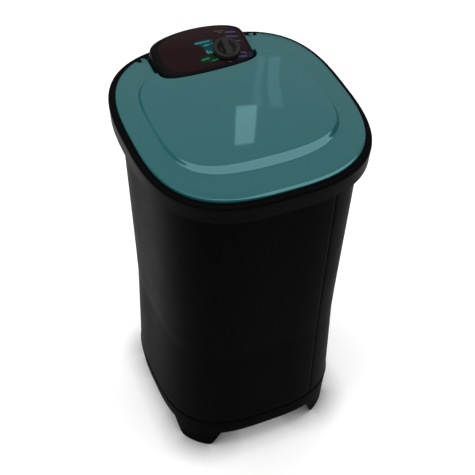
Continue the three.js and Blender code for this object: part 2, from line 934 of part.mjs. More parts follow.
function timerKnob() {
  const top = knobStandOff + knobSkirt
  const skirt = turned([
    [0, knobStandOff],
    [knobRadius, knobStandOff],
    [knobRadius - knobTaper, top - knobTaper],
    [knobRadius - 2 * knobTaper, top],
    [0, top],
  ], wideSteps)
  const length = 2 * (knobRadius - knobTaper)
  const flanks = outline(length, 1.6 * knobGripWidth, knobFlankSquareness)
  const bar = outline(length - 2 * knobEndRun, knobGripWidth + knobTaper, knobGripSquareness)
  const grip = loft([
    ring(flanks, 0, top - knobTaper, netSteps),
    ring(bar, knobTaper / 2, top + knobGripRise - knobTaper, netSteps),
    ring(bar, 1.5 * knobTaper, top + knobGripRise, netSteps),
  ])
  const bore = disc(boreFor(timerShaftRadius, boltSteps), 0, knobStandOff + knobBoreDepth, boltSteps)
  const knob = skirt.add(grip).subtract(bore).rotate([0, 0, 90 - knobGripTurn])
  return onKnobAxis(knob)
}

add('timer_body', timerBody(), whitePlastic)
add('timer_shaft', timerShaft(), steel)
add('timer_knob', timerKnob(), knobPlastic)

// Lid: a thin moulding with a turned-down edge, a raised middle, a cut-out round the control housing and
// two ears

const lidBottom = rimTop + lidGap
const lidTop = lidBottom + lidEdgeHeight
const slopeFoot = lidTop + flangeRise
const raisedTop = slopeFoot + raisedHeight

function lidForm() {
  return loft([
    ring(lidOutline, 0, lidBottom),
    ring(lidOutline, 0, lidTop - lidEdgeRound),
    ring(lidOutline, lidEdgeRound * 0.3, lidTop - lidEdgeRound * 0.3),
    ring(lidOutline, lidEdgeRound, lidTop),
    ring(raisedOutline, -raisedRun, slopeFoot),
    ring(raisedOutline, -raisedRound / 3, raisedTop - raisedRound * 0.5),
    ring(raisedOutline, raisedRound, raisedTop),
    ring(raisedOutline, raisedDepth / 4, raisedTop + crownRise),
  ])
}

function lidHollow() {
  return loft([
    ring(lidOutline, lidSkin, lidBottom - overrun),
    ring(lidOutline, lidSkin, lidTop - lidEdgeRound - lidSkin / 2),
    ring(lidOutline, lidSkin + lidEdgeRound / 2, lidTop - lidSkin),
    ring(raisedOutline, -raisedRun + lidSkin, slopeFoot - lidSkin),
    ring(raisedOutline, -raisedRound / 3 + lidSkin, raisedTop - raisedRound / 2 - lidSkin),
    ring(raisedOutline, raisedRound + lidSkin, raisedTop - lidSkin),
    ring(raisedOutline, raisedDepth / 4, raisedTop + crownRise - lidSkin),
  ])
}

function notchForm(outset) {
  const form = loft([
    ring(housingOutline, -outset, rimTop - overrun, outlineSteps),
    ring(housingOutline, -outset, raisedTop + raisedHeight, outlineSteps),
  ])
  const halfWidth = housingWidth / 2 + outset
  const behind = block(
    [housingSide - halfWidth, housingShift, rimTop - overrun],
    [housingSide + halfWidth, rimDepth, raisedTop + raisedHeight],
  )
  return form.add(behind)
}

function lidEar() {
  const hingeHeight = hingeZ()
  const width = earOuter - earInner
  const knuckle = alongX(disc(knuckleRadius, 0, width)).translate([earInner, hingeY, hingeHeight])
  const profile = new THREE.Shape()
  profile.moveTo(hingeY, hingeHeight - knuckleRadius * 0.5)
  profile.lineTo(hingeY, hingeHeight + knuckleRadius)
  profile.lineTo(hingeY - knuckleRadius, hingeHeight + knuckleRadius * 0.6)
  profile.lineTo(hingeY - earReach, lidTop)
  profile.lineTo(hingeY - earReach, hingeHeight - knuckleRadius * 0.5)
  const web = raised(profile, 0, width).rotate([90, 0, 90]).translate([earInner, 0, 0])
  return knuckle.add(web)
}

function lid() {
  const form = lidForm()
  const notch = notchForm(notchGap)
  const notchEdge = notchForm(notchGap + notchWall).intersect(form)
  const ear = lidEar()
  const lugRelief = block(
    [earOuter, hingeY - knuckleRadius - 2 * hingeGap, rimTop],
    [earOuter + lugWidth + 2 * hingeGap, hingeY, raisedTop],
  )
  const hingeRelief = block([-lidWidth, hingeY, rimTop - overrun], [lidWidth, rimDepth, raisedTop])
  return form.subtract(lidHollow()).add(notchEdge).subtract(notch)
    .subtract(lugRelief).subtract(lugRelief.mirror([1, 0, 0])).subtract(hingeRelief)
    .add(ear).add(ear.mirror([1, 0, 0])).subtract(hingePinHole())
}

function hingePin(side) {
  const length = earOuter + hingeGap + lugWidth - pinInner
  const start = side > 0 ? pinInner : -pinInner - length
  return alongX(disc(hingePinRadius, 0, length, boltSteps)).translate([start, hingeY, hingeZ()])
}

add('lid', lid(), tealPlastic)
add('hinge_pin_left', hingePin(-1), steel)
add('hinge_pin_right', hingePin(1), steel)

// Tub: hangs by its flange between the rim and the cabinet, with a round dish for the agitator and a drain
// hole

const tubInset = -rimWall - tubGap
const dishFloor = tubFloorHeight - dishDepth
const tubUnder = dishFloor - tubWall

function tubInside(extra) {
  return [
    ring(circle(dishRadius), -extra, dishFloor - extra),
    ring(circle(dishRadius), -extra, tubFloorHeight - extra),
    ring(tubFloorOutline, -extra, tubFloorHeight - extra),
    ring(tubHeelOutline, -extra, tubHeelHeight - extra / 2),
    ring(tubBandOutline, -extra, tubBandHeight),
    ring(mouthOutline, tubInset - extra, rimTop - pocketDepth - overrun),
    ring(mouthOutline, tubInset - extra, tubFlangeBottom),
  ]
}

function tubEnvelope() {
  return loft([
    ...tubInside(tubWall),
    ring(mouthOutline, -tubFlangeReach, tubFlangeBottom),
    ring(mouthOutline, -tubFlangeReach, tubFlangeTop),
  ])
}

// The motor's frame looks away from the drive shaft
const motorTurn = Math.atan2(motorY, motorX)

function motorBossPlaces() {
  const along = bracketLength / 2 - bracketCorner
  const across = bracketWidth / 2 - bracketCorner
  return [[-1, -1], [1, -1], [-1, 1], [1, 1]].map(([u, v]) => {
    const place = new THREE.Vector2(bracketShift + u * along, v * across)
    place.rotateAround(new THREE.Vector2(), motorTurn)
    return [motorX + place.x, motorY + place.y]
  })
}

const sumpBore = boreFor(pipeRadius)

function tub() {
  const envelope = tubEnvelope()
  const hollow = loft([...tubInside(0), ring(mouthOutline, tubInset, tubFlangeTop + overrun)])
  const { rails, slot } = filterGuide()
  const sump = disc(sumpBore + sumpWall, tubUnder - sumpLength, tubFloorHeight).translate([sumpX, sumpY, 0])
  const sumpHole = disc(sumpBore, tubUnder - sumpLength - overrun, tubHeelHeight).translate([sumpX, sumpY, 0])
  let body = envelope.subtract(hollow).add(rails.intersect(envelope)).subtract(slot)
  body = body.add(sump.subtract(hollow)).subtract(sumpHole)
  for (const [x, y] of motorBossPlaces()) {
    const boss = disc(bossRadius, bracketTop + fitGap, tubHeelHeight, motorSteps).translate([x, y, 0])
    body = body.add(boss.subtract(hollow))
  }
  for (const [x, y] of bearingBoltPlaces()) {
    const hole = disc(bearingBoltRadius + fitGap, tubUnder - overrun, tubUnder + boltBite + fitGap, boltSteps)
    body = body.subtract(hole.translate([x, y, 0]))
  }
  return body.subtract(disc(floorHoleRadius, tubUnder - overrun, dishFloor + overrun))
}

// Guide rails for the lint filter on the left wall: the solid to add and the slot to cut in it
function filterGuide() {
  const halfWidth = filterWidth / 2
  const front = mouthShift - halfWidth
  const rear = mouthShift + halfWidth
  const inside = filterX + filterThickness + fitGap
  const bottom = filterBottom - guideBottom - fitGap
  const top = filterBottom + filterHeight * 0.75
  const body = block(
    [-rimWidth / 2, front - guideWall, bottom],
    [inside + guideLip, rear + guideWall, top],
  )
  const window = block(
    [filterX - rimWidth, front + guideLip, filterBottom - fitGap],
    [inside + guideLip + overrun, rear - guideLip, top + overrun],
  )
  const slot = block(
    [filterX - fitGap, front - fitGap, filterBottom - fitGap],
    [inside, rear + fitGap, top + overrun],
  )
  return { rails: body.subtract(window), slot }
}

add('tub', tub(), tubPlastic)

// Lint filter: a frame that slides down between the rails, with a net bag bulging into the tub

function lintFrame() {
  const halfWidth = filterWidth / 2
  const plan = roundedRectangle(-halfWidth, 0, halfWidth, filterHeight, filterBorder / 2)
  const window = roundedRectangle(-halfWidth + filterBorder, filterBorder, halfWidth - filterBorder,
    filterHeight - filterBorder, filterBorder / 2)
  plan.holes.push(new THREE.Path(window.getPoints(cornerSteps)))
  const frame = raised(plan, 0, filterThickness)
  const tab = raised(roundedRectangle(-filterTab, filterHeight - filterBorder, filterTab,
    filterHeight + filterTab / 2, filterBorder / 2), 0, filterThickness)
  return frame.add(tab)
}

function lintNet() {
  const width = filterWidth - 2 * filterBorder - 2 * fitGap
  const height = filterHeight - 2 * filterBorder - 2 * fitGap
  const shape = outline(width, height, netSquareness)
  const outside = loft([
    ring(shape, 0, 0, netSteps),
    ring(shape, 0, netRim, netSteps),
    ring(shape, netBulge / 3, netBulge * 0.8, netSteps),
    ring(shape, netBulge, netBulge, netSteps),
  ])
  const inside = loft([
    ring(shape, netBar, -overrun, netSteps),
    ring(shape, netBar, netRim, netSteps),
    ring(shape, netBulge / 3 + netBar, netBulge * 0.8 - netBar, netSteps),
    ring(shape, netBulge + netBar, netBulge - netBar, netSteps),
  ])
  let net = outside.subtract(inside)
  const stepX = (width - 2 * netBulge) / netColumns
  const stepY = (height - 2 * netBulge) / netRows
  for (let column = 0; column < netColumns; column += 1) {
    for (let row = 0; row < netRows; row += 1) {
      const x = (column - (netColumns - 1) / 2) * stepX
      const y = (row - (netRows - 1) / 2) * stepY
      const halfX = (stepX - netBar) / 2
      const halfY = (stepY - netBar) / 2
      net = net.subtract(block([x - halfX, y - halfY, netRim], [x + halfX, y + halfY, netBulge + overrun]))
    }
  }
  return net.translate([0, filterHeight / 2, 0])
}

// Upright in the rails: the plate's face looks along +X and its length runs up
function onGuide(solid) {
  return solid.rotate([90, 0, 90]).translate([filterX, mouthShift, filterBottom])
}

add('lint_filter_frame', onGuide(lintFrame()), whitePlastic)
add('lint_filter_net', onGuide(lintNet()), netMesh)

// Bearing housing under the tub, with two bushes, a shaft seal and four bolts

const housingFlangeTop = tubUnder - fitGap
const barrelBottom = housingFlangeTop - housingBarrelLength
const sealTop = dishFloor - agitatorLift / 2
const sealBottom = sealTop - sealLength
const bushBore = shaftRadius + fitGap
const bushRadius = bushBore + bushWall
const spigotRadius = floorHoleRadius - fitGap

function bearingHousing() {
  const bore = bushRadius + fitGap
  const flangeBottom = housingFlangeTop - housingFlangeThickness
  const profile = [
    [bore, barrelBottom],
    [housingBarrelRadius, barrelBottom],
    [housingBarrelRadius, flangeBottom - housingFlangeThickness],
    [housingBarrelRadius + housingFlangeThickness, flangeBottom],
    [housingFlangeRadius, flangeBottom],
    [housingFlangeRadius, housingFlangeTop],
    [spigotRadius, housingFlangeTop],
    [spigotRadius, sealTop],
    [bore, sealTop],
    [bore, barrelBottom],
  ]
  let body = turned(profile, roundSteps)
  for (const [x, y] of bearingBoltPlaces()) {
    body = body.subtract(clearHole(bearingBoltRadius).translate([x, y, 0]))
  }
  return body
}

function bearingBoltPlaces() {
  return [0, 1, 2, 3].map((turn) => {
    const angle = Math.PI / 4 + (turn * Math.PI) / 2
    return [bearingBoltCircle * Math.cos(angle), bearingBoltCircle * Math.sin(angle)]
  })
}

function bush(bottom) {
  return tube(bushBore, bushRadius, bottom, bottom + bushLength)
}

function shaftSeal() {
  const lip = sealLength / 3
  return turned([
    [bushBore, sealBottom + lip],
    [bushBore + lip, sealBottom],
    [bushRadius, sealBottom],
    [bushRadius, sealTop],
    [bushBore, sealTop],
    [bushBore, sealBottom + lip],
  ])
}

function flangeBolt(headRadius, headHeight, radius, length) {
  const head = disc(headRadius, -headHeight, 0, hexSides)
  return head.add(disc(radius, -headHeight / 2, length, boltSteps))
}

add('bearing_housing', bearingHousing(), castIron)
add('upper_bush', bush(sealBottom - fitGap - bushLength), bronze)
add('lower_bush', bush(barrelBottom), bronze)
add('shaft_seal', shaftSeal(), rubber)
bearingBoltPlaces().forEach(([x, y], place) => {
  const length = housingFlangeThickness + 2 * fitGap + boltBite
  const bolt = flangeBolt(bearingBoltHeadRadius, bearingBoltHeadHeight, bearingBoltRadius, length)
  const seat = housingFlangeTop - housingFlangeThickness - fitGap
  add(`bearing_bolt_${place + 1}`, bolt, steel).position.set(x, y, seat)
})

// Agitator: a low cone with curved fins on the drive shaft, held by a cap nut

const pulleyTop = pulleyBottom + pulleyHeight
const shaftBottom = pulleyBottom
const agitatorBottom = dishFloor + agitatorLift

function fin() {
  const bow = Math.sin(THREE.MathUtils.degToRad(finTurn)) * finLength
  const start = agitatorHubRadius * 0.6
  const end = start + finLength
  const shape = new THREE.Shape()
  shape.moveTo(start, -finThickness / 2)
  shape.quadraticCurveTo((start + end) / 2, -bow / 2 - finThickness / 2, end, -finThickness / 4)
  shape.lineTo(end, finThickness / 4)
  shape.quadraticCurveTo((start + end) / 2, -bow / 2 + finThickness / 2, start, finThickness / 2)
  return raised(shape, agitatorBottom + agitatorEdge / 2, agitatorBottom + agitatorEdge + finHeight, finSteps)
}

function agitator() {
  const bottom = agitatorBottom
  const capSeat = shaftTop + fitGap
  const dome = turned([
    [0, bottom + agitatorEdge / 2],
    [agitatorHubRadius, bottom],
    [agitatorRadius - agitatorEdge / 2, bottom],
    [agitatorRadius, bottom + agitatorEdge / 2],
    [agitatorRadius - agitatorEdge / 2, bottom + agitatorEdge],
    [agitatorRadius * 0.7, bottom + agitatorEdge * 1.6],
    [agitatorHubRadius * 1.4, bottom + agitatorEdge + agitatorDome * 0.45],
    [agitatorHubRadius * 0.7, capSeat],
    [0, capSeat],
  ], wideSteps)
  let fins = fin()
  for (let turn = 1; turn < finCount; turn += 1) {
    fins = fins.add(fin().rotate([0, 0, (360 * turn) / finCount]))
  }
  const finShare = 0.75
  const limit = turned([
    [0, bottom],
    [agitatorRadius - agitatorEdge, bottom],
    [agitatorRadius - agitatorEdge, bottom + agitatorEdge + finHeight * 0.3],
    [agitatorRadius * finShare, bottom + agitatorEdge + finHeight],
    [agitatorHubRadius * 0.75, bottom + agitatorEdge + finHeight * 0.8],
    [0, bottom + agitatorEdge + finHeight * 0.8],
  ], wideSteps)
  const capSpace = disc(agitatorCapRadius + fitGap, capSeat, capSeat + finHeight)
  const bore = disc(shaftRadius + fitGap, bottom - overrun, capSeat + finHeight)
  return dome.add(fins.intersect(limit)).subtract(capSpace).subtract(bore)
}

function agitatorCap() {
  const seat = shaftTop + 2 * fitGap
  return turned([
    [0, seat],
    [agitatorCapRadius, seat],
    [agitatorCapRadius, seat + agitatorCapHeight * 0.5],
    [agitatorCapRadius * 0.8, seat + agitatorCapHeight * 0.85],
    [agitatorCapRadius * 0.4, seat + agitatorCapHeight],
    [0, seat + agitatorCapHeight],
  ])
}

add('agitator', agitator(), agitatorPlastic)
add('agitator_cap', agitatorCap(), agitatorPlastic)
add('drive_shaft', disc(shaftRadius, shaftBottom, shaftTop), steel)

// Driven pulley on the foot of the shaft, motor pulley, and the belt round both

const grooveRadius = pulleyRadius - pulleyGroove
const motorGrooveRadius = motorPulleyRadius - pulleyGroove
const beltMiddle = pulleyBottom + pulleyHeight / 2
const grooveHalf = beltWidth / 2 + fitGap

function grooveProfile(radius, bore) {
  const groove = radius - pulleyGroove
  const flare = pulleyHeight / 2 - grooveHalf - pulleyLand
  return {
    outer: [
      [radius, pulleyBottom],
      [radius, beltMiddle - grooveHalf - flare / 2],
      [groove, beltMiddle - grooveHalf],
      [groove, beltMiddle + grooveHalf],
      [radius, beltMiddle + grooveHalf + flare / 2],
      [radius, pulleyTop],
    ],
    bore,
  }
}

function drivenPulley() {
  const profile = grooveProfile(pulleyRadius, bushBore)
  const rimInner = grooveRadius - pulleyRim
  let body = turned([
    [profile.bore, pulleyBottom],
    [pulleyHubRadius, pulleyBottom],
    [pulleyHubRadius, beltMiddle - pulleyWeb / 2],
    [rimInner, beltMiddle - pulleyWeb / 2],
    [rimInner, pulleyBottom],
    ...profile.outer,
    [rimInner, pulleyTop],
    [rimInner, beltMiddle + pulleyWeb / 2],
    [pulleyHubRadius, beltMiddle + pulleyWeb / 2],
    [pulleyHubRadius, pulleyTop],
    [profile.bore, pulleyTop],
    [profile.bore, pulleyBottom],
  ], wideSteps)
  const windowCircle = (pulleyHubRadius + rimInner) / 2
  for (let turn = 0; turn < pulleyWindowCount; turn += 1) {
    const window = disc(pulleyWindowRadius, pulleyBottom - overrun, pulleyTop + overrun, boltSteps)
      .translate([windowCircle, 0, 0])
    body = body.subtract(window.rotate([0, 0, (360 * turn) / pulleyWindowCount]))
  }
  return body
}

function motorPulley() {
  const profile = grooveProfile(motorPulleyRadius, motorShaftRadius + fitGap)
  return turned([
    [profile.bore, pulleyBottom],
    ...profile.outer,
    [profile.bore, pulleyTop],
    [profile.bore, pulleyBottom],
  ], roundSteps)
}

// A loop round two wheels: two arcs joined by their common outer tangents. The flats of each arc stay outside
// its radius
function beltLoop(largeRadius, smallRadius, distance) {
  const lean = Math.acos((largeRadius - smallRadius) / distance)
  const largeFlats = Math.cos((Math.PI - lean) / (2 * beltArcSteps))
  const smallFlats = Math.cos(lean / (2 * beltArcSteps))
  const loop = new THREE.Path()
  loop.absarc(0, 0, largeRadius / largeFlats, lean, 2 * Math.PI - lean, false)
  loop.absarc(distance, 0, smallRadius / smallFlats, -lean, lean, false)
  return loop.getPoints(beltArcSteps)
}

function driveBelt() {
  const distance = Math.hypot(motorX, motorY)
  const large = grooveRadius + fitGap
  const small = motorGrooveRadius + fitGap
  const shape = new THREE.Shape(beltLoop(large + beltThickness, small + beltThickness, distance))
  shape.holes.push(new THREE.Path(beltLoop(large, small, distance)))
  const belt = raised(shape, beltMiddle - beltWidth / 2, beltMiddle + beltWidth / 2)
  return belt.rotate([0, 0, THREE.MathUtils.radToDeg(Math.atan2(motorY, motorX))])
}

function pulleyBolt() {
  const top = pulleyBottom - fitGap
  return disc(pulleyBoltRadius, top - pulleyBoltHeight, top, hexSides)
}

add('driven_pulley', drivenPulley(), aluminium)
add('pulley_bolt', pulleyBolt(), steel)
add('motor_pulley', motorPulley(), aluminium).position.set(motorX, motorY, 0)
add('drive_belt', driveBelt(), rubber)

// Motor: stator between two end caps, rotor inside, hung by four bolts from a steel bracket under the tub

const statorTop = statorBottom + statorHeight
const upperCapBottom = statorTop + fitGap
const upperCapTop = upperCapBottom + endCapHeight
const lowerCapTop = statorBottom - fitGap
const lowerCapBottom = lowerCapTop - endCapHeight
const bracketBottom = bracketTop - bracketThickness

function statorBody() {
  const bore = (rotorRadius + rotorGap) / Math.cos(Math.PI / motorSteps)
  let body = tube(bore, statorRadius, statorBottom, statorTop, motorSteps)
  for (const [x, y] of motorBoltPlaces()) {
    body = body.subtract(clearHole(motorBoltRadius).translate([x, y, 0]))
  }
  return body
}

function motorBoltPlaces() {
  return [0, 1, 2, 3].map((turn) => {
    const angle = Math.PI / 4 + (turn * Math.PI) / 2
    return [motorBoltCircle * Math.cos(angle), motorBoltCircle * Math.sin(angle)]
  })
}

// A shallow dished cap; the shaft runs in the bore at its middle
function endCap(open, far) {
  const inward = Math.sign(far - open)
  const bore = motorShaftRadius + fitGap
  let cap = turned([
    [bore, far - inward * endCapWall * 2],
    [rotorRadius, far - inward * endCapWall * 2],
    [statorRadius - endCapInset - endCapWall, open],
    [statorRadius, open],
    [statorRadius, open + inward * endCapWall],
    [statorRadius - endCapInset, far - inward * endCapWall],
    [statorRadius - 2 * endCapInset, far],
    [bore, far],
    [bore, far - inward * endCapWall * 2],
  ], motorSteps)
  for (const [x, y] of motorBoltPlaces()) {
    cap = cap.subtract(clearHole(motorBoltRadius).translate([x, y, 0]))
  }
  return cap
}

function rotor() {
  const bore = motorShaftRadius + fitGap
  return tube(bore, rotorRadius, statorBottom + overrun, statorTop - overrun, motorSteps)
}

function motorBracket() {
  const plan = roundedRectangle(bracketShift - bracketLength / 2, -bracketWidth / 2,
    bracketShift + bracketLength / 2, bracketWidth / 2, bracketCorner)
  const window = new THREE.Path()
  window.absarc(0, 0, statorRadius / 2, 0, 2 * Math.PI, true)
  plan.holes.push(window)
  let plate = raised(plan, bracketBottom, bracketTop)
  for (const [x, y] of motorBoltPlaces()) {
    const spacer = disc(motorBoltHeadRadius + spacerWall, upperCapTop + fitGap, bracketTop, boltSteps)
    plate = plate.add(spacer.translate([x, y, 0])).subtract(clearHole(motorBoltRadius).translate([x, y, 0]))
  }
  return plate
}

const motorParts = new THREE.Group()
motorParts.position.set(motorX, motorY, 0)
motorParts.rotation.z = motorTurn
machine.add(motorParts)
add('motor_stator', statorBody(), castIron, motorParts)
add('motor_upper_cap', endCap(upperCapBottom, upperCapTop), aluminium, motorParts)
add('motor_lower_cap', endCap(lowerCapTop, lowerCapBottom), aluminium, motorParts)
add('motor_bracket', motorBracket(), steel, motorParts)
add('motor_rotor', rotor(), castIron, motorParts)
add('motor_shaft', disc(motorShaftRadius, pulleyBottom, upperCapTop), steel, motorParts)
motorBoltPlaces().forEach(([x, y], place) => {
  const seat = lowerCapBottom - fitGap
  const bolt = flangeBolt(motorBoltHeadRadius, motorBoltHeadHeight, motorBoltRadius, bracketTop - seat)
  add(`motor_bolt_${place + 1}`, bolt, steel, motorParts).position.set(x, y, seat)
})

// Capacitor standing on the deck of the base, held by a clip with a leg down to the deck

function capacitor() {
  const bottom = deckTop + fitGap
  const top = bottom + capacitorHeight
  return turned([
    [0, bottom],
    [capacitorRadius, bottom],
    [capacitorRadius, top - capacitorEdge],
    [capacitorRadius - capacitorEdge, top],
    [0, top],
  ])
}

function capacitorClip() {
  const inner = capacitorRadius + fitGap
  const low = deckTop + clipLift
  const band = tube(inner, inner + clipWall, low, low + clipHeight)
  const leg = block(
    [-clipLegWidth / 2, -inner - clipWall, deckTop + fitGap],
    [clipLegWidth / 2, -inner, low + clipHeight],
  )
  const bore = disc(inner, 0, rimTop)
  return band.add(leg.subtract(bore))
}

add('capacitor', capacitor(), whitePlastic).position.set(capacitorX, capacitorY, 0)
add('capacitor_clip', capacitorClip(), steel).position.set(capacitorX, capacitorY, 0)

// Drain: a grille in the tub floor, a pipe from the sump to the hose tail behind, and a rubber grommet

function drainGrille() {
  const bottom = tubFloorHeight + fitGap
  const bore = sumpBore - grilleThickness
  const plate = disc(grilleRadius, bottom, bottom + grilleThickness)
  let grille = plate.add(tube(bore, sumpBore - fitGap, bottom - grilleSpigot, bottom + grilleThickness / 2))
  for (let row = 0; row < grilleSlotCount; row += 1) {
    const y = (row - (grilleSlotCount - 1) / 2) * grillePitch
    const reach = Math.sqrt(bore ** 2 - y ** 2) - grilleThickness / 2
    grille = grille.subtract(block(
      [-reach, y - grilleSlot / 2, bottom - overrun],
      [reach, y + grilleSlot / 2, bottom + grilleThickness + overrun],
    ))
  }
  return grille
}

function outletEnd() {
  return rearFace(outletX, outletHeight) + outletReach
}

function drainRoute() {
  const top = tubUnder - sumpLength + pipeSocket
  const bend = (top - outletHeight) / 3
  const route = new THREE.CurvePath()
  const down = new THREE.Vector3(sumpX, sumpY, outletHeight + bend)
  const start = new THREE.Vector3(sumpX, sumpY, top)
  const turnEnd = new THREE.Vector3(outletX, outletEnd() - outletReach * 2, outletHeight)
  const end = new THREE.Vector3(outletX, outletEnd(), outletHeight)
  route.add(new THREE.LineCurve3(start, down))
  route.add(new THREE.CubicBezierCurve3(down, new THREE.Vector3(sumpX, sumpY, outletHeight),
    new THREE.Vector3(outletX, sumpY, outletHeight), turnEnd))
  route.add(new THREE.LineCurve3(turnEnd, end))
  return route
}

function pipeRun(radius, steps) {
  const section = new THREE.Shape().absarc(0, 0, radius, 0, 2 * Math.PI, false)
  const options = { steps, extrudePath: drainRoute(), curveSegments: pipeSides }
  return toSolid(new THREE.ExtrudeGeometry(section, options))
}

function drainPipe() {
  return pipeRun(pipeRadius, pipeSteps).subtract(pipeRun(pipeBore, pipeSteps))
}

function drainGrommet() {
  const face = rearFace(outletX, outletHeight)
  const inner = boreFor(pipeRadius)
  const outer = pipeRadius + grommetWall
  const lip = outer + grommetLip
  const slant = Math.abs(rearFace(outletX - lip, outletHeight) - rearFace(outletX + lip, outletHeight)) / 2
  const outsideFace = face + slant + fitGap
  const insideFace = face - shellWall - slant - fitGap
  return alongY(turned([
    [inner, insideFace],
    [outer, insideFace],
    [outer, outsideFace],
    [lip, outsideFace],
    [lip - grommetLipWall / 3, outsideFace + grommetLipWall],
    [inner, outsideFace + grommetLipWall],
    [inner, insideFace],
  ])).translate([outletX, 0, outletHeight])
}

function cordGland() {
  const face = rearFace(glandX, glandHeight)
  const lip = glandRadius + glandLip
  const slant = Math.abs(rearFace(glandX - lip, glandHeight) - rearFace(glandX + lip, glandHeight)) / 2
  const outsideFace = face + slant + fitGap
  const insideFace = face - shellWall - slant - fitGap
  return alongY(turned([
    [glandBore, insideFace],
    [glandRadius, insideFace],
    [glandRadius, outsideFace],
    [lip, outsideFace],
    [lip - glandLipWall / 3, outsideFace + glandLipWall],
    [glandBore, outsideFace + glandLipWall],
    [glandBore, insideFace],
  ])).translate([glandX, 0, glandHeight])
}

add('drain_grille', drainGrille(), greyPlastic).position.set(sumpX, sumpY, 0)
add('drain_pipe', drainPipe(), greyPlastic)
add('drain_grommet', drainGrommet(), rubber)
add('cord_gland', cordGland(), rubber)

export default machine
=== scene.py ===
import math

import bmesh
import bpy
from mathutils import Matrix, Vector


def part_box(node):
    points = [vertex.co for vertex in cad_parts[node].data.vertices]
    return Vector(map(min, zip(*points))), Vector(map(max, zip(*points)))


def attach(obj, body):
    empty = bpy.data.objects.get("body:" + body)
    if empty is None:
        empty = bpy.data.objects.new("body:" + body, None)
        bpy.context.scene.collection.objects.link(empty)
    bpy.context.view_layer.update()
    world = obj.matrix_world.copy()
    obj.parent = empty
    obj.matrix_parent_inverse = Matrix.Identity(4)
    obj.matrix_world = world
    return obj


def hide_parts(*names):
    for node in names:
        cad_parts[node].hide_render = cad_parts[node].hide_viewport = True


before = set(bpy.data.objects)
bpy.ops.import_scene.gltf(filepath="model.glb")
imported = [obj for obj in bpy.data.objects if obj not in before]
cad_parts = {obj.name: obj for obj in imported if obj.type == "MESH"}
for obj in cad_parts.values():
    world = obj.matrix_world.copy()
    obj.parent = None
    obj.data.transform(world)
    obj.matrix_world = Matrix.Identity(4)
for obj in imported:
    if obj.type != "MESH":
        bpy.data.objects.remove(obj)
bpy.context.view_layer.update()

# Base moulding
# One black polypropylene moulding that carries the whole machine: a skirt with an arch in each side, four
# ribbed feet, and a deck with a round hole that the belt drive is reached through.

base_top = 0.0955
base_edge_round = 0.0016
skirt_edge = 0.053
foot_bottom = 0.0015
foot_edge_inset = 0.0005
foot_edge_rise = 0.0006
deck_top = 0.062
deck_hole_radius = 0.100
lip_inset = 0.004
lip_height = 0.016
lip_draft = 0.0012
moulding_wall = 0.003
foot_wall = 0.0035
foot_rib = 0.0025
foot_end_at_floor = 0.124
foot_end_at_skirt = 0.104
arch_rise = 0.0045
foot_round = 0.014
foot_toe = foot_round * 0.6
pad_radius = 0.013
pad_offset = 0.140
pad_height = 0.009
fit_gap = 0.0003
overrun = 0.002
beyond = 0.5
around_steps = 160


def outline(width, depth, squareness, shift=0.0, front_bow=0.0, rear_bow=0.0, sideways=0.0):
    return {
        "sideways": sideways,
        "half_width": width / 2,
        "half_depth": depth / 2,
        "squareness": squareness,
        "shift": shift,
        "front_bow": front_bow,
        "rear_bow": rear_bow,
    }


def outline_point(shape, inset, angle, height):
    """A point on a rounded-square outline drawn in by `inset`, at a height or on a sloping surface."""
    half_width = shape["half_width"] - inset
    half_depth = shape["half_depth"] - inset
    power = shape["squareness"]
    across = abs(math.cos(angle) / half_width) ** power
    along = abs(math.sin(angle) / half_depth) ** power
    reach = (across + along) ** (-1 / power)
    x = reach * math.cos(angle)
    y = reach * math.sin(angle)
    bow = shape["rear_bow"] if y > 0 else shape["front_bow"]
    y += shape["shift"] - bow * (y / half_depth) * (x / half_width) ** 2
    x += shape["sideways"]
    z = height(x, y) if callable(height) else height
    return Vector((x, y, z))


def whole_turn(steps):
    return [2 * math.pi * step / steps for step in range(steps)]


def circle(radius, steps):
    return [(radius * math.cos(turn), radius * math.sin(turn)) for turn in whole_turn(steps)]


def ring(shape, inset, height):
    return [outline_point(shape, inset, turn, height) for turn in whole_turn(around_steps)]


def rings_on(shape, profile):
    """Rings on one outline for a profile of (inset, height)."""
    return [ring(shape, inset, height) for inset, height in profile]


def in_scene(name, data):
    thing = bpy.data.objects.new(name, data)
    bpy.context.scene.collection.objects.link(thing)
    return thing


def as_piece(name, form):
    """Turns a bmesh into an object with its faces all looking outwards."""
    bmesh.ops.recalc_face_normals(form, faces=form.faces)
    mesh = bpy.data.meshes.new(name)
    form.to_mesh(mesh)
    form.free()
    return in_scene(name, mesh)


def join_rows(form, rows, around=False):
    """Faces between neighbouring rows of corners, and from each row's end to its start if asked."""
    for low, high in zip(rows, rows[1:]):
        for step in range(len(low) if around else len(low) - 1):
            after = (step + 1) % len(low)
            form.faces.new((low[step], low[after], high[after], high[step]))


def skin(name, rings, closed=False):
    """A closed skin over a stack of rings: its ends are capped, or its last ring joins the first."""
    form = bmesh.new()
    rows = [[form.verts.new(point) for point in points] for points in rings]
    join_rows(form, rows + rows[:1] if closed else rows, around=True)
    if not closed:
        for row in (rows[0], rows[-1]):
            middle = form.verts.new(sum((vert.co for vert in row), Vector()) / len(row))
            for step in range(len(row)):
                form.faces.new((middle, row[step], row[(step + 1) % len(row)]))
    return as_piece(name, form)


def strip(name, rows):
    """A solid bar through rows of corners, closed by its first and its last row."""
    form = bmesh.new()
    lines = [[form.verts.new(point) for point in row] for row in rows]
    join_rows(form, lines, around=True)
    form.faces.new(lines[0])
    form.faces.new(lines[-1])
    return as_piece(name, form)


def prism(name, points, direction):
    """A flat outline drawn along a direction."""
    near = [Vector(point) for point in points]
    return strip(name, [near, [point + Vector(direction) for point in near]])


def box_piece(name, low, high):
    corners = [(low[0], low[1]), (high[0], low[1]), (high[0], high[1]), (low[0], high[1])]
    return prism(name, [(x, y, low[2]) for x, y in corners], (0, 0, high[2] - low[2]))


